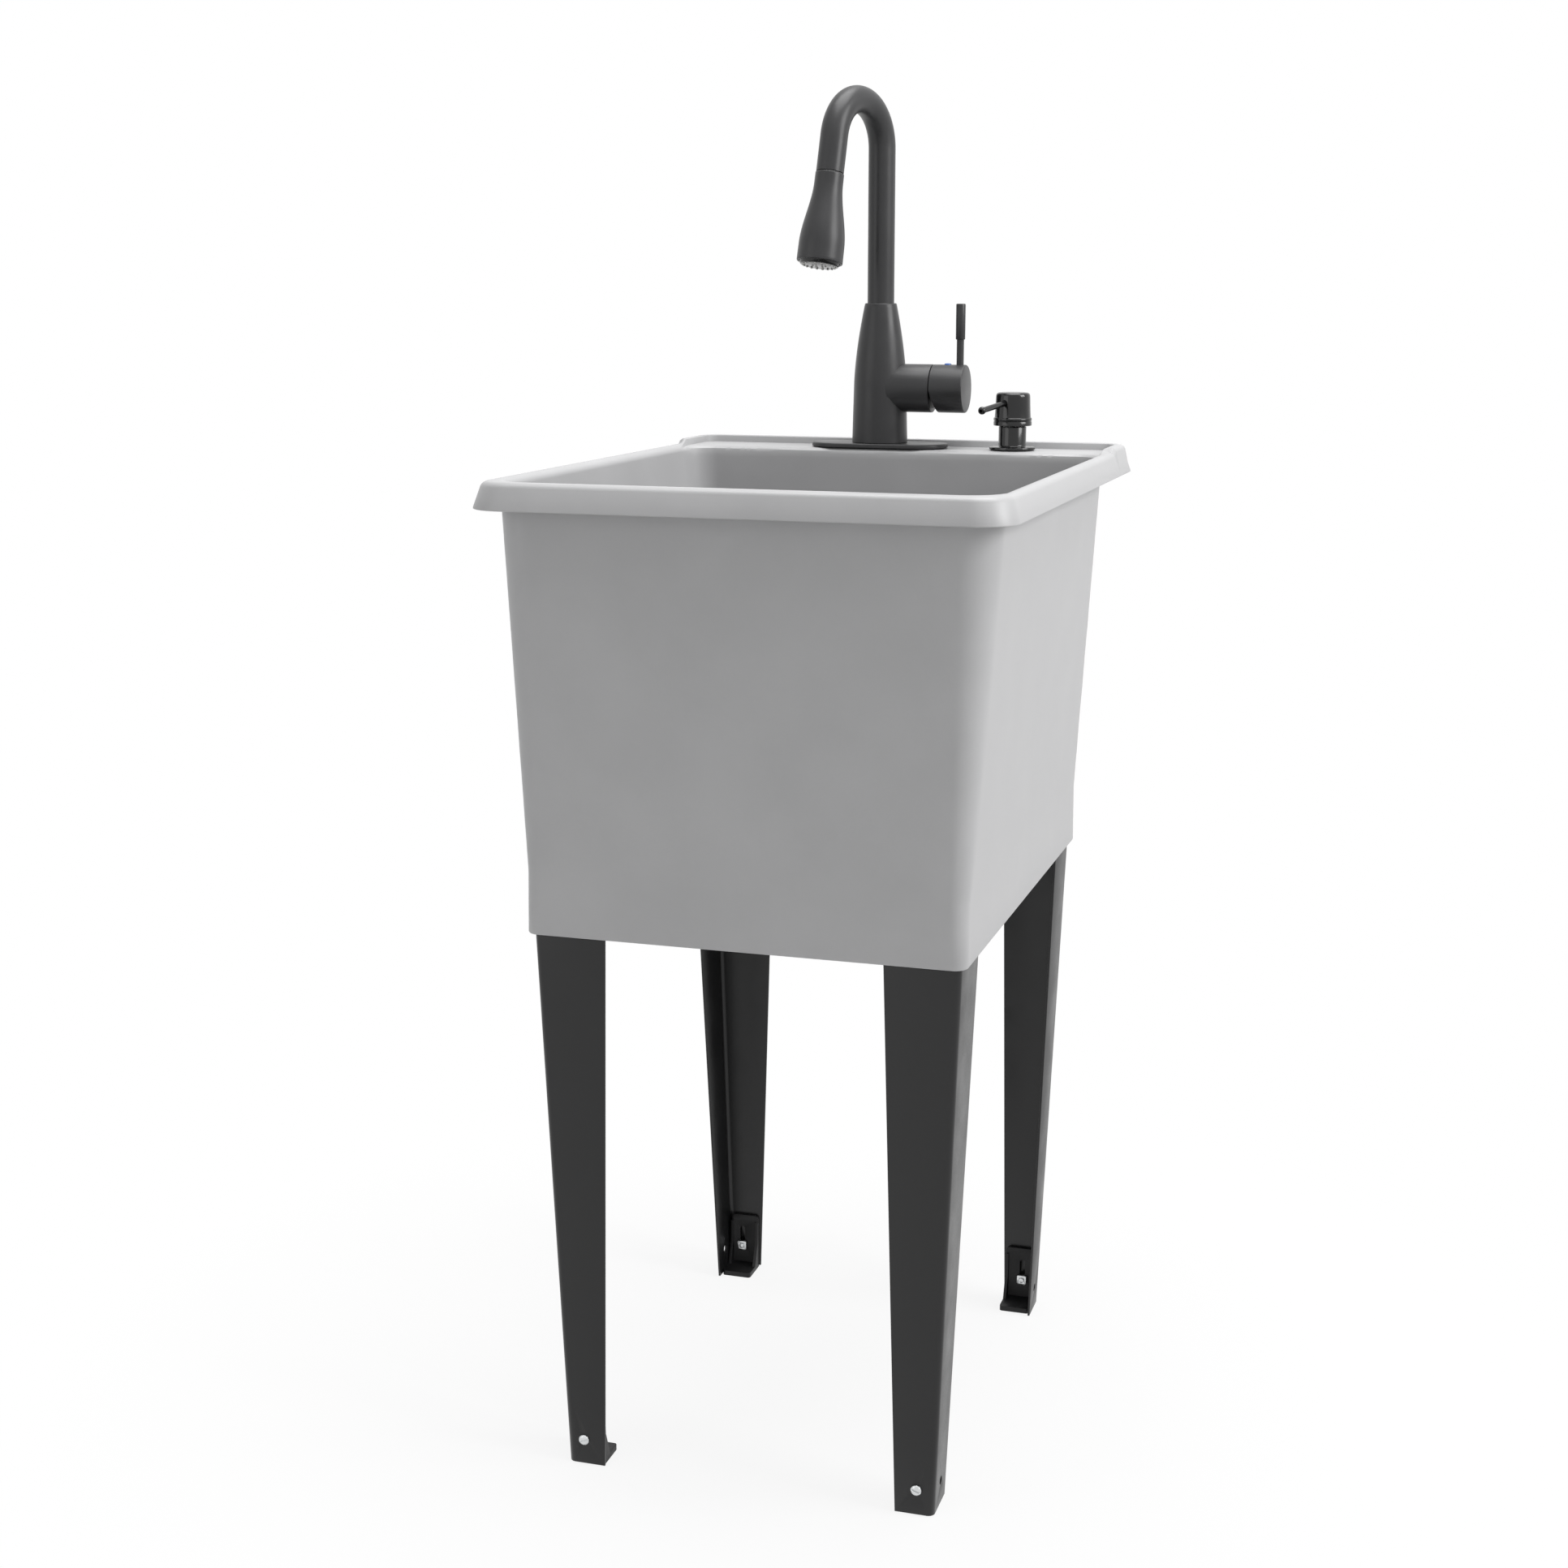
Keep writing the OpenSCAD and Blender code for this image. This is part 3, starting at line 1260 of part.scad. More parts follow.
// Blow-moulded bottle screwed on the shank
module soap_bottle() {
    neck_in = soap_shank_r + thread_fit;
    neck_out = neck_in + 2;
    low_z = bottle_top_z - bottle_h;
    t = bottle_t;
    color("#cfd2d2") at_soap() rotate_extrude() polygon([
        [0, low_z], [bottle_r - 4, low_z], [bottle_r - 1.2, low_z + 1.2], [bottle_r, low_z + 4],
        [bottle_r, bottle_top_z - 6], [bottle_r - 2, bottle_top_z - 2], [neck_out, bottle_top_z],
        [neck_out, bottle_neck_z], [neck_in, bottle_neck_z], [neck_in, bottle_top_z - t],
        [bottle_r - 2 - t, bottle_top_z - 2 - t], [bottle_r - t, bottle_top_z - 6],
        [bottle_r - t, low_z + 4], [bottle_r - 4, low_z + t], [0, low_z + t]
    ]);
}

module dip_tube() {
    low_z = bottle_top_z - bottle_h + bottle_t + 3;
    color(plastic_white) at_soap() tube(2.4, 1.6, low_z, cylinder_low_z + 5 - low_z);
}

// Pump cylinder hanging in the collar
module pump_cylinder() {
    seat_r = soap_neck_r - 1.3 - thread_fit;
    color(plastic_white) at_soap() rotate_extrude() polygon([
        [2.4 + thread_fit, cylinder_low_z], [4, cylinder_low_z], [4, cylinder_low_z + 6], [cylinder_r, cylinder_low_z + 8],
        [cylinder_r, cylinder_seat_z], [seat_r, cylinder_seat_z], [seat_r, cylinder_seat_z + 1.5],
        [cylinder_bore, cylinder_seat_z + 1.5], [cylinder_bore, cylinder_low_z + 9], [1.6, cylinder_low_z + 9],
        [1.6, cylinder_low_z + 5], [2.4 + thread_fit, cylinder_low_z + 5]
    ]);
}

module pump_gland() {
    color(plastic_white) at_soap()
        tube(soap_neck_r - 1.3 - thread_fit, stem_r + run_fit, cylinder_seat_z + 1.5, gland_t);
}

// Plunger with its stem
module pump_plunger() {
    top_z = pump_core_z + 8;
    color(plastic_white) at_soap() {
        translate([0, 0, plunger_z]) cylinder(h = plunger_l, r = cylinder_bore - run_fit);
        translate([0, 0, plunger_z + plunger_l - over]) cylinder(h = top_z - plunger_z - plunger_l + over, r = stem_r);
    }
}

// Coil spring under the plunger, swept as stacked slanted rings
module pump_spring() {
    turns = 8;
    wire_r = 0.6;
    coil_r = cylinder_bore - 1.4;
    sides = 6;
    per_turn = 12;
    z0 = cylinder_low_z + 9 + wire_r;
    z1 = plunger_z - wire_r;
    n = turns * per_turn;
    pts = [for (i = [0:n]) let (a = 360 * i / per_turn, z = z0 + (z1 - z0) * i / n)
        for (k = [0:sides - 1]) let (b = 360 * k / sides, rr = coil_r + wire_r * cos(b))
            [rr * cos(a), rr * sin(a), z + wire_r * sin(b)]];
    color(steel_colour) at_soap() polyhedron(
        points = pts,
        faces = concat(
            [[for (k = [0:sides - 1]) k]],
            [[for (k = [sides - 1:-1:0]) n * sides + k]],
            [for (i = [0:n - 1]) for (k = [0:sides - 1])
                [i * sides + k, (i + 1) * sides + k, (i + 1) * sides + (k + 1) % sides]],
            [for (i = [0:n - 1]) for (k = [0:sides - 1])
                [i * sides + k, (i + 1) * sides + (k + 1) % sides, i * sides + (k + 1) % sides]]
        )
    );
}

// Pump head: a cup that slides down over the neck
module pump_head() {
    low_r = pump_low_r;
    top_r = pump_top_r;
    cup_r = soap_neck_r + 3 * run_fit;
    color(gloss_black) at_soap() difference() {
        rotate_extrude() polygon([
            [0, pump_z], [low_r, pump_z], [low_r, pump_z + 3.6], [low_r - 0.6, pump_z + 3.9],
            [low_r - 0.6, pump_z + 4.5], [low_r, pump_z + 4.8], [low_r, pump_z + 7], [low_r - 1, pump_z + 7.6],
            [top_r + 0.4, pump_top_z - 4], [top_r, pump_top_z - 2], [top_r - 1.4, pump_top_z - 0.5],
            [top_r - 5, pump_top_z], [0, pump_top_z + 0.5]
        ]);
        translate([0, 0, pump_z - over]) cylinder(h = pump_core_z - pump_z + over, r = cup_r);
        translate([0, 0, pump_core_z - over]) cylinder(h = 8 + over + run_fit, r = stem_r + run_fit);
        translate([0, 0, pump_spout_z]) rotate([0, 0, -90 - pump_turn]) rotate([0, 90 + pump_slope, 0])
            translate([0, 0, 8]) cylinder(h = top_r + over, r = pump_spout_d / 2 + thread_fit);
    }
}

// Bent-free spout tube with a ball end
module pump_spout() {
    l = pump_reach / cos(pump_slope);
    r = pump_spout_d / 2;
    color(gloss_black) at_soap() translate([0, 0, pump_spout_z]) rotate([0, 0, -90 - pump_turn])
        rotate([0, 90 + pump_slope, 0]) difference() {
            union() {
                translate([0, 0, 8]) cylinder(h = l - 8, r = r);
                translate([0, 0, l - 3]) sphere(r = r * 1.35);
            }
            translate([0, 0, 12]) cylinder(h = l, r = r * 0.5);
        }
}

tub();
leg_front_left();
leg_front_right();
leg_back_left();
leg_back_right();
foot_front_left();
foot_front_right();
foot_back_left();
foot_back_right();
foot_screws();
foot_nuts();
drain_body();
drain_gasket();
drain_friction_ring();
drain_locknut();
tailpiece_washer();
tailpiece();
slip_nut();
strainer_basket();
basket_stopper();
basket_knob();
deck_plate();
deck_plate_gasket();
tap_body();
tap_shank();
shank_rubber_washer();
shank_steel_washer();
mounting_nut();
cartridge();
cartridge_nut();
cartridge_rotor();
stem_pin();
valve_stem();
handle_cap();
lever_rod();
lever_grip();
index_button();
handle_set_screw();
spout();
spout_bushing();
spout_o_rings();
docking_collar();
spray_head();
spray_face();
spray_nozzles();
spray_hose();
soap_collar();
soap_gasket();
soap_nut();
soap_bottle();
dip_tube();
pump_cylinder();
pump_gland();
pump_plunger();
pump_spring();
pump_head();
pump_spout();
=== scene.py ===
"""Scene of a utility laundry sink: moulded tub, folded steel legs, pull-down tap and soap dispenser.

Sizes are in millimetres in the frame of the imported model: the origin is on the floor under the
middle of the rim, -Y is the front and +Z is up. Meshes are placed in metres.
"""
import logging
from collections.abc import Sequence
from dataclasses import dataclass
from enum import Enum
from math import atan2, cos, degrees, hypot, inf, pi, radians, sin, sqrt

import bmesh
import bpy
from mathutils import Matrix, Vector


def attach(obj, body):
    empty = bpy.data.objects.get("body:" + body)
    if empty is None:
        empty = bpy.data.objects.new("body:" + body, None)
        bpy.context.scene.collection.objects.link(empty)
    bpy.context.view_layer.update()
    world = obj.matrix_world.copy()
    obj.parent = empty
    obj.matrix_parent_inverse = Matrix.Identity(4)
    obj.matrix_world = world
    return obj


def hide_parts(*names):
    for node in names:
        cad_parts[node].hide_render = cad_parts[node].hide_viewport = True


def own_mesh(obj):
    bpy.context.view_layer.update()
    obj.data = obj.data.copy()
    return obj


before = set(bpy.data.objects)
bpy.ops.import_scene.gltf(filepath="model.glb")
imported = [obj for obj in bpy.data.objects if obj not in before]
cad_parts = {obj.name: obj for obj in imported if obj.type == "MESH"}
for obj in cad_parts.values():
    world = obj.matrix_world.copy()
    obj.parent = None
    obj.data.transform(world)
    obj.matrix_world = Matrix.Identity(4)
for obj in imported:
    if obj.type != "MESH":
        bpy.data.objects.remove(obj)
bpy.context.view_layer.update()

MM = 0.001
LOG = logging.getLogger("laundry_sink")
Object = bpy.types.Object
Tree = bpy.types.NodeTree
Socket = bpy.types.NodeSocket
Point = tuple[float, float, float]

# Places that the tub shares with what stands on its deck and under it
DECK_Y = 238.5
DECK_Z = 862.0
TAP_X = -20.0
SOAP_X = 113.0
LEG_MIDDLE = -25.5
BAND_FOOT_Z = 487.0


def linear(code: str) -> tuple[float, float, float, float]:
    """Linear colour of an sRGB hex code such as #a3a3a4."""
    parts = [int(code[i : i + 2], 16) / 255 for i in (1, 3, 5)]
    return (*[c / 12.92 if c <= 0.04045 else ((c + 0.055) / 1.055) ** 2.4 for c in parts], 1.0)


def add_node(tree: Tree, kind: str, settings: dict, links: dict) -> bpy.types.Node:
    """Adds a node to a tree.

    Args:
        tree: the material's or world's node tree.
        kind: the node's type name, without ShaderNode before it.
        settings: values by attribute name, or by input socket name or number.
        links: output sockets that feed its inputs, by input socket name or number.

    Returns:
        The new node.
    """
    node = tree.nodes.new("ShaderNode" + kind)
    for key, value in settings.items():
        if isinstance(key, str) and hasattr(node, key):
            setattr(node, key, value)
        else:
            node.inputs[key].default_value = value
    for key, socket in links.items():
        tree.links.new(socket, node.inputs[key])
    return node


def empty_tree(owner: bpy.types.Material | bpy.types.World) -> Tree:
    """Gives a material or world an empty node tree.

    Args:
        owner: the material or world.

    Returns:
        Its node tree.
    """
    owner.use_nodes = True
    owner.node_tree.nodes.clear()
    return owner.node_tree


def seen_directly(tree: Tree) -> Socket:
    """Adds the nodes that tell the camera's view, reflections and glass from light on a surface.

    Args:
        tree: the material's or world's node tree.

    Returns:
        A socket that is 1 in view and 0 as a light.
    """
    path = add_node(tree, "LightPath", {}, {})
    seen = path.outputs["Is Camera Ray"]
    for ray in ("Is Glossy Ray", "Is Transmission Ray"):
        links = {0: seen, 1: path.outputs[ray]}
        seen = add_node(tree, "Math", {"operation": "MAXIMUM"}, links).outputs[0]
    return seen


class Pattern(Enum):
    """How a surface's small pattern runs."""

    SPECKLE = "speckle"
    BRUSHED = "brushed"
    BRAIDED = "braided"


@dataclass(frozen=True)
class Surface:
    """A real material and how its surface was made.

    grain_mm is the width of its smallest mark and cloud_mm that of its slow changes of tone.
    """

    name: str
    colour: str
    roughness: float
    metallic: float = 0.0
    ior: float = 1.5
    grain_mm: float = 1.0
    bump_mm: float = 0.02
    cloud_mm: float = 60.0
    mottle: float = 0.04
    rough_spread: float = 0.06
    coat: float = 0.0
    specular: float = 0.5
    pattern: Pattern = Pattern.SPECKLE
    brush_stretch: float = 0.06
    grain_share: float = 0.35
    bump_strength: float = 0.6

    def grain(self, tree: Tree, place: Socket) -> Socket:
        """Adds the small pattern.

        Args:
            tree: the material's node tree.
            place: the point on the object.

        Returns:
            The socket with the pattern's strength.
        """
        stretch = (1.0, 1.0, self.brush_stretch if self.pattern is Pattern.BRUSHED else 1.0)
        mapped = add_node(tree, "Mapping", {"Scale": stretch}, {"Vector": place}).outputs[0]
        scale = 1 / (self.grain_mm * MM)
        if self.pattern is Pattern.BRAIDED:
            node = add_node(tree, "TexChecker", {"Scale": scale}, {"Vector": mapped})
        else:
            settings = {"Scale": scale, "Detail": 3.0, "Roughness": 0.55}
            node = add_node(tree, "TexNoise", settings, {"Vector": mapped})
        return node.outputs["Fac"]

    def build(self) -> bpy.types.Material:
        """Makes the procedural material.

        Returns:
            The material, whose colour and roughness drift together and whose grain also lifts it.
        """
        material = bpy.data.materials.new(self.name)
        tree = empty_tree(material)
        place = add_node(tree, "TexCoord", {}, {}).outputs["Object"]
        grain = self.grain(tree, place)
        settings = {"Scale": 1 / (self.cloud_mm * MM), "Detail": 4.0, "Roughness": 0.5}
        cloud = add_node(tree, "TexNoise", settings, {"Vector": place}).outputs["Fac"]
        settings = {"operation": "MULTIPLY_ADD", 1: self.grain_share}
        blend = add_node(tree, "Math", settings, {0: grain, 2: cloud}).outputs[0]
        settings = {"From Min": 0.45, "From Max": 0.9}
        tone = add_node(tree, "MapRange", settings, {"Value": blend}).outputs[0]
        base = linear(self.colour)[:3]
        dark = (*[c * (1 - self.mottle) for c in base], 1.0)
        light = (*[min(1.0, c * (1 + self.mottle)) for c in base], 1.0)
        settings = {"data_type": "RGBA", 6: dark, 7: light}
        colour = add_node(tree, "Mix", settings, {"Factor": tone}).outputs[2]
        low, high = self.roughness - self.rough_spread, self.roughness + self.rough_spread
        settings = {"To Min": low, "To Max": high}
        rough = add_node(tree, "MapRange", settings, {"Value": tone}).outputs[0]
        settings = {"Strength": self.bump_strength, "Distance": self.bump_mm * MM}
        bump = add_node(tree, "Bump", settings, {"Height": grain}).outputs[0]
        settings = {"Metallic": self.metallic, "IOR": self.ior, "Coat Weight": self.coat,
                    "Specular IOR Level": self.specular}
        links = {"Base Color": colour, "Roughness": rough, "Normal": bump}
        shader = add_node(tree, "BsdfPrincipled", settings, links)
        add_node(tree, "OutputMaterial", {}, {"Surface": shader.outputs[0]})
        return material


class Finish(Enum):
    """The finishes of the sink, each with the name of its material slot."""

    # Satin moulded polypropylene: fine pebbled skin, slow drifts of grey
    TUB = ("tub_plastic", Surface("moulded_polypropylene", "#a9a9aa", 0.42, grain_mm=1.1, bump_mm=0.035,
                                  cloud_mm=70.0, mottle=0.035))
    # Powder coat on sheet steel: orange peel of about 2 mm under a soft sheen
    LEG = ("leg_steel", Surface("powder_coated_steel", "#101011", 0.34, specular=0.45, grain_mm=1.8,
                                bump_mm=0.05, cloud_mm=40.0, mottle=0.08))
    # Moulded nylon: dull and even
    FOOT = ("foot_plastic", Surface("moulded_nylon", "#111112", 0.5, specular=0.35, grain_mm=0.8,
                                    bump_mm=0.03))
    # Bright zinc plate: pale metal with faint streaks
    ZINC = ("zinc", Surface("zinc_plated_steel", "#d3d5d6", 0.3, metallic=1.0, grain_mm=0.5,
                            bump_mm=0.01, cloud_mm=6.0, mottle=0.05))
    # Drawn stainless steel: brushed lines
    STAINLESS = ("stainless", Surface("drawn_stainless_steel", "#c4c4c3", 0.28, metallic=1.0, grain_mm=0.35,
                                      bump_mm=0.01, cloud_mm=25.0, pattern=Pattern.BRUSHED))
    # Moulded rubber: dull with a dusty bloom
    RUBBER = ("rubber", Surface("moulded_rubber", "#222223", 0.7, grain_mm=0.7, bump_mm=0.04, mottle=0.12))
    # White acetal and nylon fittings: clean, with a waxy sheen
    WHITE = ("white_plastic", Surface("white_acetal", "#dededa", 0.4, grain_mm=0.9, bump_mm=0.02))
    # Matte black coating on cast zinc: very fine grit that softens the highlights
    TAP = ("tap_black", Surface("matte_black_coating", "#363637", 0.36, specular=0.3, grain_mm=0.45,
                                bump_mm=0.012, cloud_mm=30.0, mottle=0.06))
    # Black ABS with a polished face: sharp highlights
    GLOSS = ("pump_black", Surface("polished_black_abs", "#0b0b0c", 0.2, specular=0.35, grain_mm=1.2,
                                   bump_mm=0.006, cloud_mm=20.0, mottle=0.08, rough_spread=0.03, coat=0.3))
    # Turned brass, left bare: warm with fine turning lines
    BRASS = ("brass", Surface("turned_brass", "#a98f56", 0.36, metallic=1.0, grain_mm=0.4, bump_mm=0.01,
                              pattern=Pattern.BRUSHED))
    # The nut that holds the cartridge, brass blackened with the tap: near black and dull
    DARK_BRASS = ("brass", Surface("blackened_brass", "#1d1b17", 0.5, grain_mm=0.5, bump_mm=0.01))
    # Blue index button, moulded and shiny
    BUTTON = ("button_plastic", Surface("blue_acrylic", "#2b62b4", 0.22, grain_mm=0.8, bump_mm=0.004,
                                        coat=0.5))
    # Silicone nozzles: pale and soft
    NOZZLE = ("nozzle_silicone", Surface("pale_silicone", "#cfcfcb", 0.55, grain_mm=0.5, bump_mm=0.01))
    # Blow-moulded polyethylene: milky and uneven
    BOTTLE = ("bottle_plastic", Surface("blown_polyethylene", "#cfd1d0", 0.38, grain_mm=3.0, bump_mm=0.06,
                                        cloud_mm=18.0, mottle=0.06))
    # Braided nylon sleeve: a small weave that breaks up the light
    HOSE = ("hose_sleeve", Surface("braided_nylon", "#4b4c4e", 0.6, grain_mm=1.1, bump_mm=0.2,
                                   pattern=Pattern.BRAIDED))
    # Pressed fibre ring: dry and mottled
    FIBRE = ("fibre_ring", Surface("pressed_fibre", "#a4916f", 0.8, grain_mm=0.6, bump_mm=0.05, mottle=0.15))
    # Carrier of the ceramic discs: pale and smooth
    CERAMIC = ("ceramic_carrier", Surface("disc_carrier", "#c9c9c3", 0.3, grain_mm=1.0, bump_mm=0.01))

    @property
    def slot(self) -> str:
        """The finish's material slot name."""
        return self.value[0]

    @property
    def material(self) -> bpy.types.Material:
        """The finish's material, made once."""
        surface = self.value[1]
        return bpy.data.materials.get(surface.name) or surface.build()


def deselect_all() -> None:
    """Leaves nothing selected, in object mode."""
    if bpy.context.object and bpy.context.object.mode != "OBJECT":
        bpy.ops.object.mode_set(mode="OBJECT")
    bpy.ops.object.select_all(action="DESELECT")


def only(obj: Object) -> None:
    """Selects one object and makes it active."""
    deselect_all()
    obj.select_set(True)
    bpy.context.view_layer.objects.active = obj


def skin(name: str, rings: Sequence[Sequence[Point]], closed: bool = False) -> Object:
    """Draws a circle primitive out ring by ring into a skin.

    Args:
        name: the piece's name.
        rings: rings of equal length, in millimetres.
        closed: True where the last ring meets the first, as on a hollow form.

    Returns:
        The closed mesh object, with its faces outwards.
    """
    deselect_all()
    bpy.ops.mesh.primitive_circle_add(vertices=len(rings[0]), radius=1.0)
    obj = bpy.context.object
    obj.name = name
    obj.data.name = name
    for vert, point in zip(obj.data.vertices, rings[0]):
        vert.co = Vector(point) * MM
    bpy.ops.object.mode_set(mode="EDIT")
    bpy.ops.mesh.select_all(action="SELECT")
    if not closed:
        # The first cap, of which only the edges stay selected for the extrusion
        bpy.ops.mesh.edge_face_add()
        bpy.ops.mesh.select_all(action="SELECT")
        cap = bmesh.from_edit_mesh(obj.data)
        for face in cap.faces:
            face.select_set(False)
        for edge in cap.edges:
            edge.select_set(True)
        bmesh.update_edit_mesh(obj.data)
    order = {i: i for i in range(len(rings[0]))}
    bpy.context.tool_settings.mesh_select_mode = (False, True, False)
    for ring in [*rings[1:], *([rings[0]] if closed else [])]:
        bpy.ops.mesh.extrude_edges_move()
        mesh = bmesh.from_edit_mesh(obj.data)
        mesh.verts.index_update()
        # Each new point takes the place in the ring of the point that it grew from
        fresh = {}
        for vert in [v for v in mesh.verts if v.select]:
            others = [e.other_vert(vert) for e in vert.link_edges]
            parent = next(v for v in others if not v.select)
            fresh[vert.index] = order[parent.index]
        mesh.verts.ensure_lookup_table()
        for index, place in fresh.items():
            mesh.verts[index].co = Vector(ring[place]) * MM
        order = fresh
        bmesh.update_edit_mesh(obj.data)
    if not closed:
        bpy.ops.mesh.edge_face_add()
    bpy.ops.mesh.select_all(action="SELECT")
    bpy.ops.mesh.remove_doubles(threshold=0.02 * MM)
    bpy.ops.mesh.normals_make_consistent(inside=False)
    bpy.ops.object.mode_set(mode="OBJECT")
    return obj


def placed(obj: Object, matrix: Matrix) -> Object:
    """Moves a mesh and applies its place.

    Args:
        obj: the object, at the origin.
        matrix: its place, in millimetres.

    Returns:
        The same object.
    """
    shift = matrix.copy()
    shift.translation = matrix.translation * MM
    obj.matrix_world = shift
    only(obj)
    bpy.ops.object.transform_apply(location=True, rotation=True, scale=True)
    return obj


def turned(name: str, profile: Sequence[tuple[float, float]], axis: Matrix, steps: int = 96,
           closed: bool = False) -> Object:
    """Turns a profile about the Z axis of a frame.

    Args:
        name: the piece's name.
        profile: (radius, height) points in millimetres.
        axis: the frame, in millimetres.
        steps: points in each ring.
        closed: True where the profile's last point meets its first.

    Returns:
        The turned object.
    """
    angles = [2 * pi * i / steps for i in range(steps)]
    rings = [[(r * cos(a), r * sin(a), z) for a in angles] for r, z in profile]
    return placed(skin(name, rings, closed), axis)


def finish_modifier(obj: Object, kind: str, **settings: object) -> None:
    """Adds a modifier and applies it.

    Args:
        obj: the object to change.
        kind: the modifier's type.
        settings: the modifier's values by name.
    """
    only(obj)
    modifier = obj.modifiers.new(kind.title(), kind)
    for key, value in settings.items():
        setattr(modifier, key, value)
    bpy.ops.object.modifier_apply(modifier=modifier.name)


def carve(obj: Object, tool: Object, operation: str = "DIFFERENCE") -> None:
    """Cuts a tool from a piece, or fuses it on, and removes the tool."""
    finish_modifier(obj, "BOOLEAN", object=tool, operation=operation, solver="EXACT")
    bpy.data.objects.remove(tool)


def drill(obj: Object, axis: Matrix, r: float, low: float, high: float, steps: int = 96) -> None:
    """Bores a round hole through a piece, between two heights on the Z axis of a frame."""
    carve(obj, turned("bore", [(r, low), (r, high)], axis, steps))


def eased(obj: Object, width: float, segments: int = 2, angle: float = 35.0) -> None:
    """Rounds a piece's sharp edges by a width in millimetres."""
    finish_modifier(obj, "BEVEL", width=width * MM, segments=segments, limit_method="ANGLE",
                    angle_limit=radians(angle), harden_normals=False, miter_outer="MITER_ARC")


def dress(obj: Object, finish: Finish, body: str, *nodes: str, angle: float = 32.0) -> None:
    """Finishes a new piece.

    Args:
        obj: the piece.
        finish: its finish.
        body: the body that it moves with.
        nodes: the CAD nodes that it stands for.
        angle: edges flatter than this many degrees are shaded smooth.
    """
    only(obj)
    bpy.ops.object.shade_smooth_by_angle(angle=radians(angle))
    obj.data.materials.clear()
    obj.data.materials.append(finish.material)
    if nodes:
        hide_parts(*nodes)
    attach(obj, body)
    LOG.info("%s: %d faces on %s", obj.name, len(obj.data.polygons), body)


def refined(node: str, name: str, finish: Finish, width: float, body: str = "sink", segments: int = 2,
            angle: float = 32.0) -> Object:
    """Copies a CAD node, merges its triangles, eases its edges and finishes it in the node's place.

    Args:
        node: the CAD node's name.
        name: the piece's name.
        finish: its finish.
        width: how far its edges are rounded, in millimetres, or 0 to leave them.
        body: the body that it moves with.
        segments: faces across each rounded edge.
        angle: edges flatter than this many degrees are shaded smooth.

    Returns:
        The copy, with a mesh of its own.
    """
    obj = bpy.data.objects.new(name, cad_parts[node].data.copy())
    bpy.context.scene.collection.objects.link(obj)
    only(obj)
    bpy.ops.object.mode_set(mode="EDIT")
    bpy.ops.mesh.select_all(action="SELECT")
    bpy.ops.mesh.remove_doubles(threshold=0.005 * MM)
    bpy.ops.mesh.dissolve_limited(angle_limit=radians(0.6))
    bpy.ops.object.mode_set(mode="OBJECT")
    if width:
        eased(obj, width, segments)
    dress(obj, finish, body, node, angle=angle)
    return obj


def repaint(finish: Finish, *nodes: str) -> None:
    """Gives CAD nodes that stay as they are a finish."""
    for node in nodes:
        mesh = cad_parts[node].data
        mesh.materials.clear()
        mesh.materials.append(finish.material)


def ease(x: float, low: float, high: float) -> float:
    """Smooth step from 0 at low to 1 at high."""
    t = min(1.0, max(0.0, (x - low) / (high - low)))
    return t * t * (3 - 2 * t)


@dataclass(frozen=True)
class Outline:
    """A rounded rectangle in plan, symmetric in X.

    back_r is the radius of its back corners, or None where it is that of the front ones.
    """

    x: float
    y0: float
    y1: float
    front_r: float
    back_r: float | None = None

    def reach(self, angle: float, middle: float) -> tuple[float, float]:
        """Finds where a ray meets the outline.

        Args:
            angle: the ray's direction in radians.
            middle: the Y that it starts from, on the middle line.

        Returns:
            The point's X and Y.
        """
        dx, dy = cos(angle), sin(angle)
        r = self.front_r if dy <= 0 or self.back_r is None else self.back_r
        edge = (self.y1 if dy > 0 else self.y0) - middle
        t = min(self.x / abs(dx) if dx else inf, edge / dy if dy else inf)
        px, py = abs(t * dx), abs(t * dy)
        cx, cy = self.x - r, abs(edge) - r
        if px > cx and py > cy and r > 0:
            along = abs(dx) * cx + abs(dy) * cy
            t = along + sqrt(max(0.0, along * along - cx * cx - cy * cy + r * r))
        return t * dx, middle + t * dy


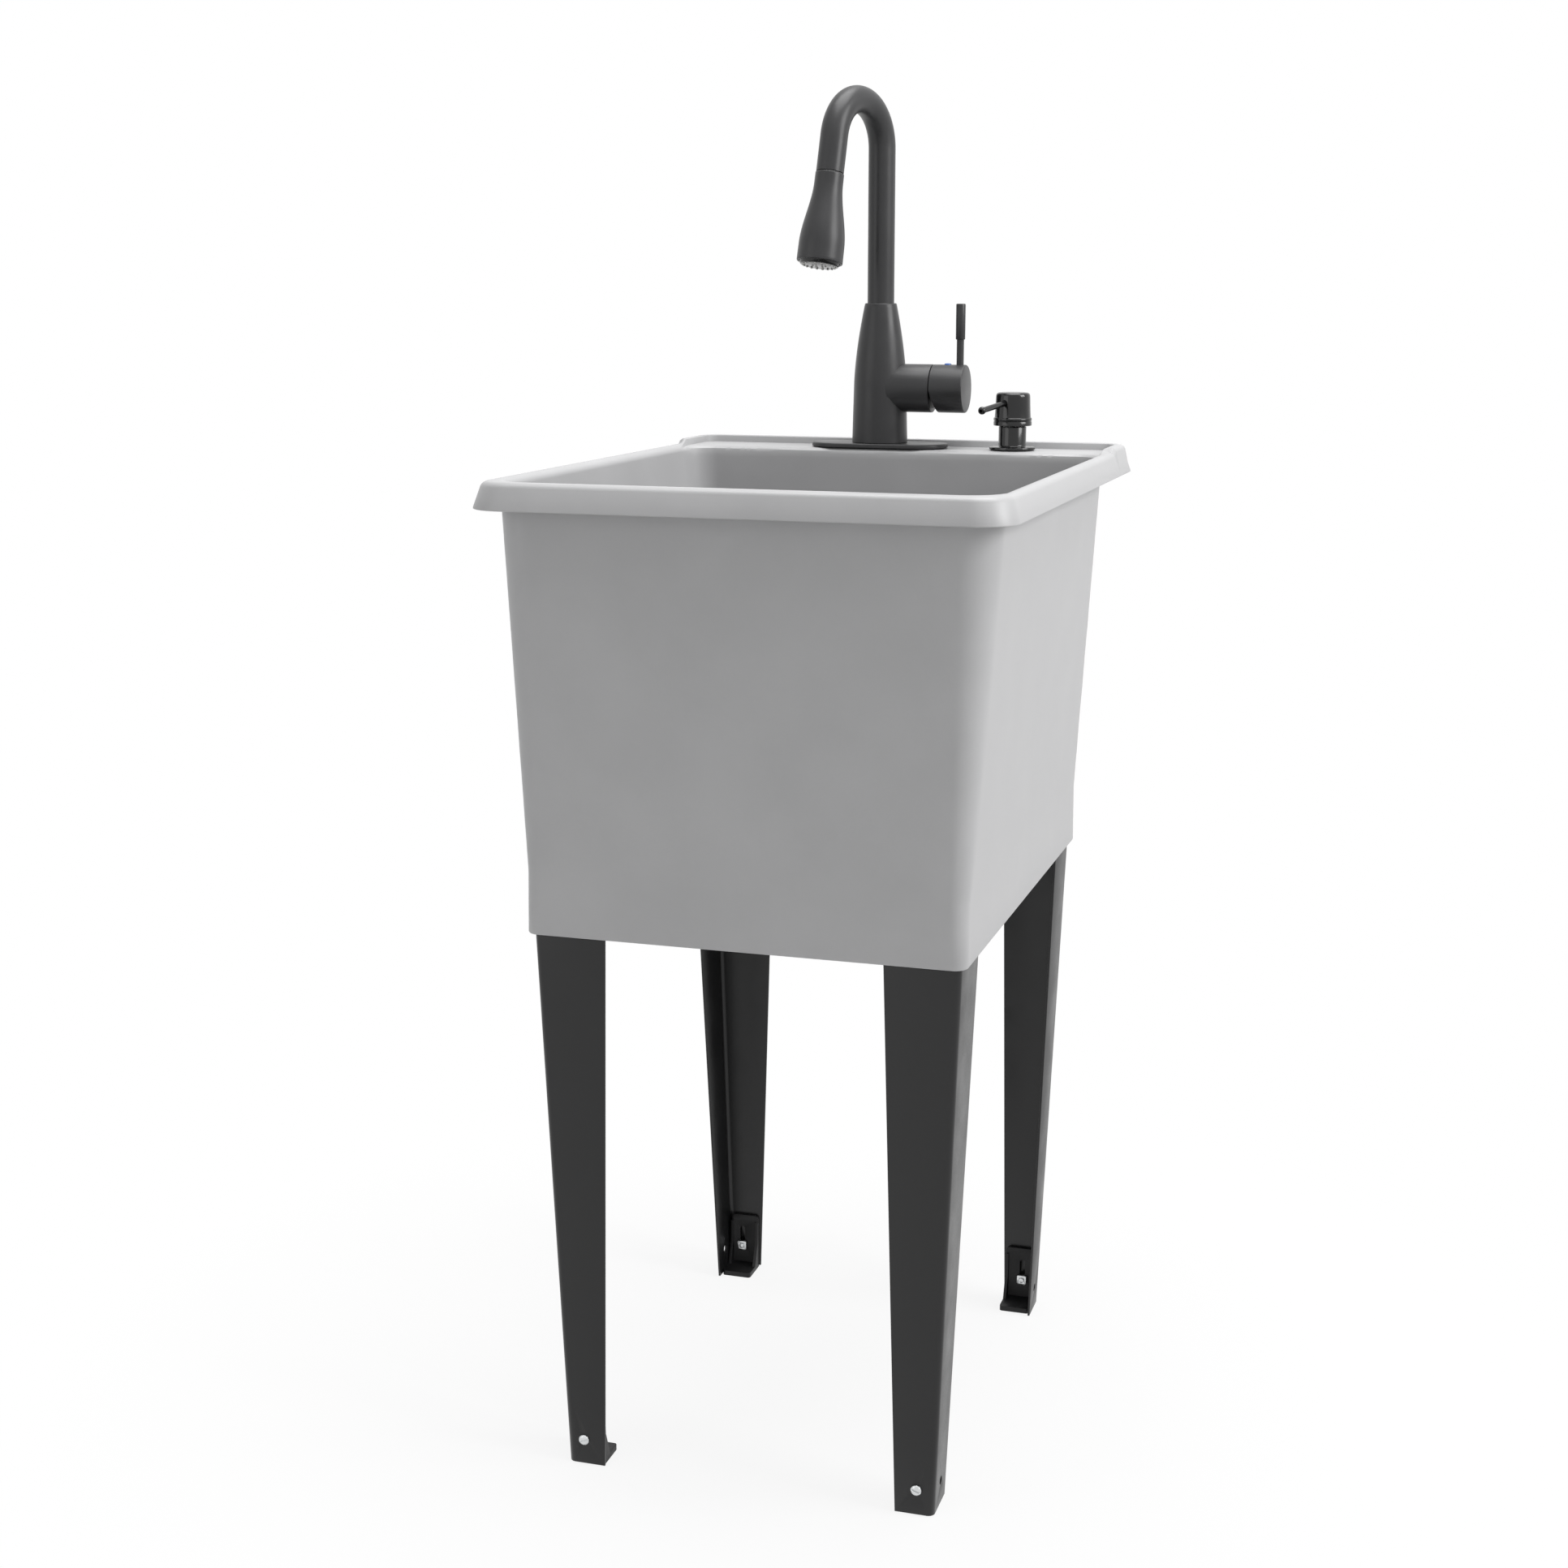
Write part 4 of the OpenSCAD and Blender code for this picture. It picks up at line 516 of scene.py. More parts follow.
@dataclass
class LaundryTub:
    """The moulded tub: one skin from the drain hole, round the outside and back over the basin.

    Heights end in _z. middle is where the skin's rays start, over the drain. The ledge is how far
    the rim stands up behind the deck, and deck_turns are the angles between which a ring passes
    from the basin's plan to the deck's.
    """

    middle: float = -27.0
    rim_x: float = 225.0
    rim_y: float = 290.0
    rim_z: float = 864.0
    rim_r: float = 4.0
    skirt_z: float = 842.0
    skirt_lean: tuple[float, float] = (6.6, 8.7)
    roll_z: float = 857.0
    roll_r: float = 7.0
    body_x: float = 189.0
    body_front: float = -264.0
    body_back: float = 213.0
    body_z: float = 541.0
    body_flare: tuple[float, float] = (20.0, 3.0)
    wall_t: float = 5.0
    basin_z: float = 545.0
    floor_r: float = 16.0
    under_z: float = 530.0
    drain_r: float = 43.0
    recess_r: float = 56.5
    recess_z: float = 536.0
    ledge: float = 4.5
    ledge_y: tuple[float, float] = (205.0, 209.5)
    deck_x: float = 208.0
    deck_back: float = 268.0
    deck_edge: Outline = Outline(210.0, 0.0, 213.0, 31.0)
    deck_turns: tuple[float, float] = (45.0, 47.6)
    gussets: tuple[float, ...] = (-157.0, -75.0, 48.0, 158.0)
    gusset_t: float = 3.0
    tap_hole_r: float = 17.5
    soap_hole_r: float = 14.0

    def angles(self) -> list[float]:
        """Lists the directions of the skin's points, dense where the ledge parts from the rim.

        Returns:
            Angles in radians, from the right round by the back, then on to the front.
        """
        marks = [4.0 * i for i in range(11)] + [42.0, 43.2] + [44 + 0.36 * i for i in range(42)]
        marks += [60.0, 62.0, 65.0, 69.0, 74.0, 79.0, 84.5]
        half = marks + [90.0] + [180 - m for m in reversed(marks)]
        return [radians(m) for m in half + [-m for m in reversed(half[1:-1])]]

    def distance(self, point: tuple[float, float]) -> float:
        """Distance in plan from the middle of the skin's rays."""
        return hypot(point[0], point[1] - self.middle)

    def ring(self, shape: Outline, z: float, back: Outline | None = None, back_z: float = 0.0,
             ledge: float = 0.0) -> list[Point]:
        """Makes one ring of the skin.

        Args:
            shape: plan of the ring.
            z: its height.
            back: plan behind the basin, where the deck makes it differ.
            back_z: height there.
            ledge: how far the ring climbs behind the basin.

        Returns:
            Points in millimetres.
        """
        points = []
        for a in self.angles():
            x, y = shape.reach(a, self.middle)
            h = z + ledge * ease(y, *self.ledge_y)
            if back is not None:
                share = ease(degrees(atan2(sin(a), abs(cos(a)))), *self.deck_turns)
                bx, by = back.reach(a, self.middle)
                if back_z >= DECK_Z:
                    bx, by = max((bx, by), self.deck_edge.reach(a, self.middle), key=self.distance)
                x, y, h = x + (bx - x) * share, y + (by - y) * share, h + (back_z - h) * share
            points.append((x, y, h))
        return points

    def skirt(self, z: float, inset: float) -> Outline:
        """Plan of the rim's outer face at a height.

        Args:
            z: the height.
            inset: how far it is drawn in.

        Returns:
            The plan.
        """
        up = (z - self.skirt_z) / (self.rim_z - self.skirt_z)
        x = self.rim_x - self.skirt_lean[0] * up - inset
        y = self.rim_y - self.skirt_lean[1] * up - inset
        return Outline(x, -y, y, 32 - 4 * up - inset / 2, 25 - 2 * up - inset / 2)

    def wall(self, z: float, grow: float = 0.0) -> Outline:
        """Plan of the body's outer face at a height.

        Args:
            z: the height.
            grow: how far it is grown.

        Returns:
            The plan.
        """
        up = max(0.0, (z - self.body_z) / (self.skirt_z - self.body_z))
        x = self.body_x + self.body_flare[0] * up + grow
        front = self.body_front - self.body_flare[1] * up - grow
        return Outline(x, front, self.body_back + grow, 14 + 16 * up)

    def basin(self, z: float, inset: float) -> Outline:
        """Plan of the basin at a height.

        Args:
            z: the height.
            inset: how far it is drawn in.

        Returns:
            The plan.
        """
        up = (z - self.basin_z) / (self.skirt_z - self.basin_z)
        x = self.body_x - self.wall_t + self.body_flare[0] * up - inset
        front = self.body_front + self.wall_t - self.body_flare[1] * up + inset
        return Outline(x, front, self.body_back - self.wall_t - inset, max(2.0, 18 + 8 * up - inset))

    def band(self, inset: float, r: float) -> Outline:
        """Plan of the straight band at the tub's foot, drawn in."""
        return Outline(self.body_x - inset, self.body_front + inset, self.body_back - inset, r)

    def disc(self, r: float) -> Outline:
        """Plan of a circle round the drain, with a hair of straight side for the rays to meet."""
        return Outline(r, self.middle - r, self.middle + r, r - 0.001)

    def under_rings(self) -> list[list[Point]]:
        """Draws the skin from the drain hole under the floor, round the band and up to the skirt.

        Returns:
            Rings in millimetres.
        """
        under, foot, roll, hem = self.under_z, BAND_FOOT_Z, self.roll_z, self.skirt_z
        # The drain's seat, and the floor's underside rising to the band
        plans = [(self.disc(self.drain_r), under + 0.6), (self.disc(self.drain_r + 0.6), under)]
        plans += [(self.disc(64), under), (Outline(115, -140, 100, 55), under + 5)]
        plans += [(Outline(154, -181, 127, 40), under + 9)]
        # Down the band's inside, round its foot and up its outside
        plans += [(self.band(6.0, 8), under + 9), (self.band(4.2, 8), under + 8.2)]
        plans += [(self.band(3.5, 8), under + 6.5), (self.band(3.5, 8), foot + 1.3)]
        plans += [(self.band(3.1, 8.4), foot + 0.35), (self.band(2.3, 9), foot), (self.band(1.2, 10), foot)]
        plans += [(self.band(0.35, 11), foot + 0.35), (self.band(0, 11), foot + 1.3)]
        plans += [(self.band(0, 12.5), foot + 28), (self.band(0, 14), self.body_z - 2.5)]
        # Up the body's tapering walls
        plans += [(self.wall(z), z) for z in (self.body_z, 544, 580, 640, 700, 760, 810, hem, 853.5)]
        # Out under the rim, and down the skirt's inside to its hem
        plans += [(self.wall(roll - 1, 0.9), roll - 0.9), (self.wall(roll, 3), roll)]
        plans += [(self.skirt(roll, 6.5), roll), (self.skirt(roll - 1, 4.6), roll - 0.9)]
        plans += [(self.skirt(roll - 4, 4), roll - 4), (self.skirt(hem + 1.4, 4), hem + 1.4)]
        plans += [(self.skirt(hem + 0.4, 3.6), hem + 0.35), (self.skirt(hem, 2.7), hem)]
        return [self.ring(shape, z) for shape, z in plans]

    def rim_rings(self) -> list[list[Point]]:
        """Draws the skin from the skirt's hem over the crown, the ledge and the deck to the basin.

        Returns:
            Rings in millimetres.
        """
        hem, top = self.skirt_z, self.rim_z + self.ledge
        # Round the hem and up the skirt's face
        plans = [(self.skirt(hem, 1.2), hem), (self.skirt(hem + 0.4, 0.3), hem + 0.35)]
        plans += [(self.skirt(hem + 1.4, 0), hem + 1.4), (self.skirt(hem + 10, 0), hem + 10)]
        rings = [self.ring(shape, z) for shape, z in plans]
        # Over the crown, which climbs the ledge behind
        for a in (0.0, 22.5, 45.0, 67.5, 90.0):
            turn = radians(a)
            drop, inset = self.rim_r * (1 - sin(turn)), self.rim_r * (1 - cos(turn))
            rings.append(self.ring(self.skirt(self.rim_z - drop, inset), self.rim_z - drop, ledge=self.ledge))
        # Down the roll in front and at the sides, and down the ledge's inner face behind
        falls = ((78.0, 3.4, top), (64.0, 2.2, top), (50.0, 1.2, top - 0.5), (45.0, 0.8, top - 1.5))
        for a, out, back_z in (*falls, (40.0, 0.0, DECK_Z)):
            back = Outline(self.deck_x + out, 0, self.deck_back + out, 12 + out)
            rings.append(self.roll_ring(a, back, back_z))
        # Over the deck
        for a, inset in ((35.0, 1.2), (31.0, 8.0)):
            back = Outline(self.deck_x - inset, 0, self.deck_back - inset, 12)
            rings.append(self.roll_ring(a, back, DECK_Z))
        # Round the deck's front edge into the basin
        edge_r = DECK_Z - self.roll_z
        for a, turn_back in ((26.0, 90.0), (18.0, 60.0), (9.0, 30.0), (0.0, 0.0)):
            t = radians(turn_back)
            out = edge_r * (1 - cos(t))
            edge = Outline(205 + out, -267, self.body_back - self.wall_t + out, 26 + out)
            rings.append(self.roll_ring(a, edge, self.roll_z + edge_r * sin(t)))
        return rings

    def roll_ring(self, arc: float, back: Outline, back_z: float) -> list[Point]:
        """Makes a ring on the rim's roll into the basin.

        Args:
            arc: how far up the roll it lies, in degrees.
            back: plan behind the basin.
            back_z: height there.

        Returns:
            Points in millimetres.
        """
        turn = radians(arc)
        shape = self.basin(self.roll_z, -self.roll_r * (1 - cos(turn)))
        return self.ring(shape, self.roll_z + self.roll_r * sin(turn), back, back_z)

    def basin_rings(self) -> list[list[Point]]:
        """Draws the skin down the basin's walls and over the floor to the drain's recess.

        Returns:
            Rings in millimetres.
        """
        plans = [(self.basin(z, 0), z) for z in (852, 842, 790, 730, 670, 610, 575, 561)]
        # Round the corner between wall and floor
        for a in (72, 54, 36, 18, 0):
            turn = radians(a)
            inset, rise = self.floor_r * (1 - sin(turn)), self.floor_r * (1 - cos(turn))
            plans.append((self.basin(self.basin_z, inset), self.basin_z + rise))
        # Down the falling floor and into the recess for the strainer's flange
        plans += [(Outline(130, -180, 130, 30), 543.6), (Outline(92, -125, 75, 45), 541.4)]
        plans += [(self.disc(62), 539), (self.disc(57), 539), (self.disc(self.recess_r), 538.6)]
        plans += [(self.disc(self.recess_r), self.recess_z), (self.disc(self.drain_r), self.recess_z)]
        return [self.ring(shape, z) for shape, z in plans]

    def block(self, low: Point, high: Point) -> Object:
        """Makes a block for cutting or fusing.

        Args:
            low: one corner in millimetres.
            high: the opposite corner.

        Returns:
            The block.
        """
        deselect_all()
        bpy.ops.mesh.primitive_cube_add(size=1.0)
        obj = bpy.context.object
        obj.scale = [abs(b - a) * MM for a, b in zip(low, high)]
        obj.location = [(a + b) / 2 * MM for a, b in zip(low, high)]
        bpy.ops.object.transform_apply(location=True, rotation=True, scale=True)
        return obj

    def socket(self, tub: Object, side: int, end: int) -> None:
        """Adds the ribs and the slot for one leg's upper end.

        Args:
            tub: the tub's object.
            side: -1 for the left, 1 for the right.
            end: -1 for the front, 1 for the back.
        """
        # Low and high corners: across and along from the legs' middle, and up from the floor
        ribs = [((115.4, 225.95, 497), (193, 240, 539.4)), ((178.6, 163.2, 497), (193, 240, 539.4)),
                ((172.6, 219.95, 497), (182, 230, 539.4))]
        slots = [((118.4, 229.15, 480), (185.92, 232.33, 533)), ((181.8, 166.2, 480), (185.92, 232.33, 533)),
                 ((175.8, 223.15, 480), (182.0, 229.4, 533))]
        inside = self.band(3.1, 8.2)
        for group, operation in ((ribs, "UNION"), (slots, "DIFFERENCE")):
            for corners in group:
                tool = self.block(*[(side * x, LEG_MIDDLE + end * y, z) for x, y, z in corners])
                if operation == "UNION":
                    space = skin("band_space", [self.ring(inside, 490), self.ring(inside, 545)])
                    carve(tool, space, "INTERSECT")
                carve(tub, tool, operation)

    def build(self) -> None:
        """Models the tub with its gussets, holes and leg sockets."""
        tub = skin("moulded_tub", self.under_rings() + self.rim_rings() + self.basin_rings(), closed=True)
        near, far, top = self.body_back - 0.5, 280.3, self.roll_z + 0.6
        profile = [(near, top), (far, top), (far, self.roll_z - 8), (near, self.roll_z - 42)]
        for x in self.gussets:
            faces = [[(x + s, y, z) for y, z in profile] for s in (-self.gusset_t / 2, self.gusset_t / 2)]
            carve(tub, skin("gusset", faces), "UNION")
        for side in (-1, 1):
            for end in (-1, 1):
                self.socket(tub, side, end)
        for x, r in ((TAP_X, self.tap_hole_r), (SOAP_X, self.soap_hole_r)):
            drill(tub, Matrix.Translation((x, DECK_Y, DECK_Z)), r, -12, 8, 48)
        dress(tub, Finish.TUB, "sink", "tub", angle=30.0)


@dataclass
class FoldedLeg:
    """One L-section leg of sheet steel, for a side and an end of the tub.

    top_corner and top_width are half spans and flange widths at the band's foot, and lean and
    taper are how much of them is gone at the floor. A hole has its distance from the fold and its
    radius: the face's takes the foot's screw, and the side's is spare.
    """

    side: int
    end: int
    sheet: float = 2.0
    fold: float = 6.0
    low_z: float = 1.0
    high_z: float = 533.0
    top_corner: tuple[float, float] = (184.0, 231.35)
    lean: tuple[float, float] = (18.2, 8.2)
    top_width: tuple[float, float] = (64.2, 63.5)
    taper: tuple[float, float] = (30.2, 23.0)
    hole_z: float = 24.0
    face_hole: tuple[float, float] = (16.0, 2.7)
    spare_hole: tuple[float, float] = (22.0, 3.75)

    def at(self, z: float, top: tuple[float, float], loss: tuple[float, float]) -> list[float]:
        """A pair of measures at a height, from their values at the band and their loss at the floor."""
        down = (BAND_FOOT_Z - z) / (BAND_FOOT_Z - self.low_z)
        return [a - b * down for a, b in zip(top, loss)]

    def section(self, z: float) -> list[Point]:
        """Draws the folded section at a height.

        Args:
            z: the height.

        Returns:
            Its points in millimetres.
        """
        x, y = self.at(z, self.top_corner, self.lean)
        u, v = self.at(z, self.top_width, self.taper)
        sheet, inner = self.sheet, self.fold - self.sheet
        turns = [radians(90 * i / 8) for i in range(9)]
        plan = [(u, 0.0), (u, sheet)]
        plan += [(sheet + inner * (1 - sin(t)), sheet + inner * (1 - cos(t))) for t in turns]
        plan += [(sheet, v), (0.0, v)]
        plan += [(self.fold - self.fold * cos(t), self.fold - self.fold * sin(t)) for t in turns]
        return [(self.side * (x - a), LEG_MIDDLE + self.end * (y - b), z) for a, b in plan]

    def build(self, node: str) -> None:
        """Models the leg with its two holes.

        Args:
            node: the CAD node that it stands for.
        """
        leg = skin("steel_" + node, [self.section(z) for z in (self.low_z, 60, 180, 300, 420, self.high_z)])
        x, y = self.at(self.hole_z, self.top_corner, self.lean)
        for along_x, along_y, r, turn_axis in ((self.face_hole[0], 0.0, self.face_hole[1], "X"),
                                               (0.0, self.spare_hole[0], self.spare_hole[1], "Y")):
            place = (self.side * (x - along_x), LEG_MIDDLE + self.end * (y - along_y), self.hole_z)
            axis = Matrix.Translation(place) @ Matrix.Rotation(pi / 2, 4, turn_axis)
            drill(leg, axis, r, -9, 9, 32)
        eased(leg, 0.3, 2, 50)
        dress(leg, Finish.LEG, "sink", node, angle=25.0)


@dataclass
class LevellingFeet:
    """Feet, screws and nuts at the four corners, with the rounding of their edges."""

    foot_edge: float = 0.5
    screw_edge: float = 0.25
    nut_edge: float = 0.4

    def build(self) -> None:
        """Eases the moulded feet and dresses the zinc screws and nuts."""
        for node, body in (("foot_front_left", "foot_fl"), ("foot_front_right", "foot_fr"),
                           ("foot_back_left", "foot_bl"), ("foot_back_right", "foot_br")):
            refined(node, "moulded_" + node, Finish.FOOT, self.foot_edge, body, 3)
        refined("foot_screws", "slotted_screws", Finish.ZINC, self.screw_edge)
        refined("foot_nuts", "square_nuts", Finish.ZINC, self.nut_edge)


@dataclass
class BasketStrainer:
    """The waste fitting in the tub's floor and its lift-out basket, with the rounding of their edges."""

    cup_edge: float = 0.3
    basket_edge: float = 0.15
    knob_edge: float = 0.3
    locknut_edge: float = 0.6
    slip_nut_edge: float = 0.4

    def build(self) -> None:
        """Eases the pressed cup, the basket and the nuts, and dresses what lies between."""
        refined("drain_body", "pressed_cup", Finish.STAINLESS, self.cup_edge)
        refined("strainer_basket", "pierced_basket", Finish.STAINLESS, self.basket_edge, "basket")
        refined("basket_knob", "turned_knob", Finish.STAINLESS, self.knob_edge, "basket")
        refined("drain_locknut", "lugged_locknut", Finish.WHITE, self.locknut_edge, segments=3)
        refined("slip_nut", "ribbed_slip_nut", Finish.WHITE, self.slip_nut_edge)
        repaint(Finish.RUBBER, "drain_gasket", "basket_stopper", "tailpiece_washer")
        repaint(Finish.FIBRE, "drain_friction_ring")
        repaint(Finish.STAINLESS, "tailpiece")


@dataclass
class PullDownTap:
    """The tap on the deck: plate, column with its valve arm, handle, gooseneck and spray head.

    tilt is how far the outlet leans off plumb and turn how far the spout points off the front, in
    degrees. run is the outlet's straight length.
    """

    plate_r: float = 29.5
    plate_span: float = 38.5
    column_h: float = 139.0
    waist_h: float = 58.0
    arm_z: float = 920.0
    arm_r: float = 23.2
    arm_face: float = 33.3
    cap_x: float = 33.9
    cap_l: float = 32.6
    cap_r: float = 23.1
    lever_r: float = 3.5
    grip_r: float = 4.6
    spout_r: float = 13.0
    spout_bore_r: float = 11.42
    bend_z: float = 1146.0
    bend_r: float = 43.0
    tilt: float = 12.0
    turn: float = 16.5
    run: float = 35.0
    head_l: float = 83.0
    head_gap: float = 0.8

    @property
    def axis(self) -> Matrix:
        """The column's axis on the ground."""
        return Matrix.Translation((TAP_X, DECK_Y, 0))

    @property
    def aim(self) -> Matrix:
        """Frame whose X axis points where the spout points."""
        return self.axis @ Matrix.Rotation(radians(-90 - self.turn), 4, "Z")

    @property
    def outlet(self) -> Matrix:
        """Frame whose Z axis runs down the outlet from the tube's mouth."""
        t = radians(self.tilt)
        x = self.bend_r * (1 + cos(t)) + self.run * sin(t)
        z = self.bend_z + self.bend_r * sin(t) - self.run * cos(t)
        return self.aim @ Matrix.Translation((x, 0, z)) @ Matrix.Rotation(pi - t, 4, "Y")

    def along_x(self, x: float) -> Matrix:
        """Frame whose Z axis runs along the valve arm from a point."""
        return Matrix.Translation((x, DECK_Y, self.arm_z)) @ Matrix.Rotation(pi / 2, 4, "Y")

    def column_r(self, h: float) -> float:
        """Radius of the column at a height above the deck: nearly straight, then drawn in."""
        if h < self.waist_h:
            return 27.3 - 1.55 * h / self.waist_h
        return 25.75 - 10.4 * ((h - self.waist_h) / 81) ** 1.6

    def plate(self) -> None:
        """Models the deck plate with its softened edge."""
        low, shoulder, edge = DECK_Z + 1, DECK_Z + 3.4, 1.6
        turns = [radians(-90 + 180 * i / 48) for i in range(49)]

        def outline(inset: float, z: float) -> list[Point]:
            """The plate's plan, drawn in, at a height."""
            r, span = self.plate_r - inset, self.plate_span
            right = [(span + r * cos(t), r * sin(t), z) for t in turns]
            left = [(-span - r * cos(t), -r * sin(t), z) for t in turns]
            return right + left

        rings = [outline(0.3, low), outline(0, low + 0.3), outline(0, shoulder)]
        rings += [outline(edge * (1 - cos(a)), shoulder + edge * sin(a))
                  for a in (0.4, 0.8, 1.2, pi / 2)]
        plate = placed(skin("rounded_deck_plate", rings), self.axis)
        drill(plate, self.axis, 17, DECK_Z - 2, DECK_Z + 8, 64)
        dress(plate, Finish.TAP, "sink", "deck_plate")

    def column(self) -> None:
        """Models the cast column with its valve arm and the bores for valve, spout and shank."""
        heights = [5.0, 5.6] + [6 + 52 * i / 6 for i in range(7)]
        heights += [self.waist_h + 80 * i / 24 for i in range(1, 25)]
        profile = [(self.column_r(h) - (0.5 if h == 5.0 else 0.0), DECK_Z + h) for h in heights]
        top = DECK_Z + self.column_h
        column = turned("cast_column", profile + [(15.2, top - 0.3), (14.8, top)], self.axis, 128)
        r, reach = self.arm_r, self.arm_face - TAP_X
        profile = [(r, 2), (r, reach - 0.8), (r - 0.25, reach - 0.25), (r - 0.8, reach)]
        carve(column, turned("arm", profile, self.along_x(TAP_X), 128), "UNION")
        drill(column, self.along_x(3.0), 17.55, 0, 40)
        drill(column, self.along_x(self.arm_face - 7), 19.0, 0, 20)
        for r, low, high in ((13.2, 961, 980), (14.3, 975, 1010), (16.05, 860, 884)):
            drill(column, self.axis, r, low, high)
        dress(column, Finish.TAP, "sink", "tap_body", angle=40.0)

    def handle(self) -> None:
        """Models the cap with its notch, the lever, its grip and the blue button."""
        length, r, edge, wall = self.cap_l, self.cap_r, 1.4, 2.7
        profile = [(r - wall, 10), (r - wall, 0.4), (r - 2.3, 0), (r - 0.4, 0), (r, 0.4), (r, length - edge)]
        profile += [(r - edge * (1 - cos(a)), length - edge + edge * sin(a))
                    for a in (0.4, 0.8, 1.2, pi / 2)]
        cap = turned("notched_cap", profile, self.along_x(self.cap_x), 128)
        wedge = [(-20.0, 0.0), (0.0, 0.0), (12.4, -46.3), (-20.0, -46.3)]
        rings = [[(self.cap_x + a, DECK_Y + s, self.arm_z + b) for a, b in wedge] for s in (-30.0, 30.0)]
        carve(cap, skin("wedge", rings))
        top = self.arm_z + r
        at_dot = Matrix.Translation((self.cap_x + 14, DECK_Y, 0))
        drill(cap, at_dot, 3.55, top - 3, top + 16.9, 48)
        eased(cap, 0.35, 2, 50)
        dress(cap, Finish.TAP, "handle", "handle_cap", angle=40.0)
        dome = [(3.5, -3.0), (3.5, 0.2), (3.2, 0.7), (2.4, 1.1), (1.0, 1.3)]
        button = turned("domed_button", [(w, top + h) for w, h in dome], at_dot, 48)
        dress(button, Finish.BUTTON, "handle", "index_button")
        lever = Matrix.Translation((self.cap_x + length - 6.5, DECK_Y, 0))
        r = self.lever_r
        rod = [(r - 0.3, 931), (r, 931.3), (r, 986.7), (r - 0.3, 987)]
        dress(turned("lever_stem", rod, lever, 64), Finish.TAP, "handle", "lever_rod")
        r = self.grip_r
        grip = [(r - 0.7, 967), (r - 0.25, 967.2), (r, 967.8), (r, 1000.0), (r - 0.25, 1000.7)]
        grip.append((r - 0.8, 1001))
        dress(turned("turned_grip", grip, lever, 64), Finish.TAP, "handle", "lever_grip")

    def circle(self, x: float, z: float, turn: float, r: float) -> list[Point]:
        """Draws a ring of the tube, square to its path.

        Args:
            x: how far out on the path it lies.
            z: its height.
            turn: how far the path has turned from straight up, in radians.
            r: the ring's radius.

        Returns:
            Points in millimetres.
        """
        turns = [2 * pi * i / 72 for i in range(72)]
        return [(x - r * cos(a) * cos(turn), r * sin(a), z + r * cos(a) * sin(turn))
                for a in turns]

    def gooseneck(self) -> None:
        """Models the tube: up the column, over the bend and down to its mouth."""
        t = radians(self.tilt)
        path = [(0.0, z, 0.0) for z in (961.0, 1000.0, 1050.0, 1100.0)]
        sweep = pi - t
        path += [(self.bend_r - self.bend_r * cos(s), self.bend_z + self.bend_r * sin(s), s)
                 for s in [sweep * i / 56 for i in range(57)]]
        x, z, turn = path[-1]
        path.append((x + self.run * sin(t), z - self.run * cos(t), turn))
        outer = [self.circle(*point, self.spout_r - 0.02) for point in path]
        lips = [self.circle(*path[-1], self.spout_r - 0.5), self.circle(*path[-1], self.spout_r - 1.3)]
        inner = [self.circle(*point, self.spout_bore_r) for point in reversed(path)]
        tube = placed(skin("gooseneck_tube", outer + lips + inner, closed=True), self.aim)
        dress(tube, Finish.TAP, "swivel_spout", "spout", angle=40.0)

    def head_r(self, s: float) -> float:
        """Radius of the spray head at a distance from its joint."""
        return 13.4 + 7.3 * ease(s, 10, 67) + 0.9 * s / self.head_l

    def spray(self) -> None:
        """Models the flared head with its recessed face and two rings of nozzles."""
        length, place = self.head_l, self.outlet @ Matrix.Translation((0, 0, self.head_gap))
        profile = [(13.0, 0), (13.4, 0.5)]
        profile += [(self.head_r(s), s) for s in [(length - 1) * i / 40 for i in range(1, 41)]]
        profile += [(21.4, length - 0.3), (20.9, length), (19.6, length), (19.3, length - 0.3)]
        profile += [(19.2, length - 1), (19.2, length - 12)]
        head = turned("flared_spray_head", profile, place, 112)
        dress(head, Finish.TAP, "spray", "spray_head", angle=40.0)
        face = [(19.1, 71.1), (19.1, 82.6), (18.8, 83.1), (18.3, 85.2), (17.8, 85.7), (17.0, 86.0)]
        dress(turned("nozzle_face", face, place, 112), Finish.GLOSS, "spray", "spray_face")
        tip = [(1.15, 85.2), (1.1, 86.3), (0.85, 86.75), (0.5, 86.8), (0.45, 86.3)]
        jets = []
        for r, count in ((15.25, 18), (6.0, 6)):
            for a in [2 * pi * i / count for i in range(count)]:
                spot = place @ Matrix.Translation((r * cos(a), r * sin(a), 0))
                jets.append(turned("jet", tip, spot, 20))
        deselect_all()
        for jet in jets:
            jet.select_set(True)
        bpy.context.view_layer.objects.active = jets[0]
        bpy.ops.object.join()
        jets[0].name = "soft_nozzles"
        dress(jets[0], Finish.NOZZLE, "spray", "spray_nozzles")

    def build(self) -> None:
        """Models the tap and dresses its inner pieces."""
        self.plate()
        self.column()
        self.handle()
        self.gooseneck()
        self.spray()
        repaint(Finish.RUBBER, "deck_plate_gasket", "shank_rubber_washer", "spout_o_rings")
        repaint(Finish.BRASS, "tap_shank")
        repaint(Finish.DARK_BRASS, "cartridge_nut")
        repaint(Finish.ZINC, "shank_steel_washer", "stem_pin", "valve_stem", "handle_set_screw")
        repaint(Finish.WHITE, "cartridge", "spout_bushing", "docking_collar")
        repaint(Finish.CERAMIC, "cartridge_rotor")
        repaint(Finish.HOSE, "spray_hose")
        refined("mounting_nut", "winged_nut", Finish.BRASS, 0.5)


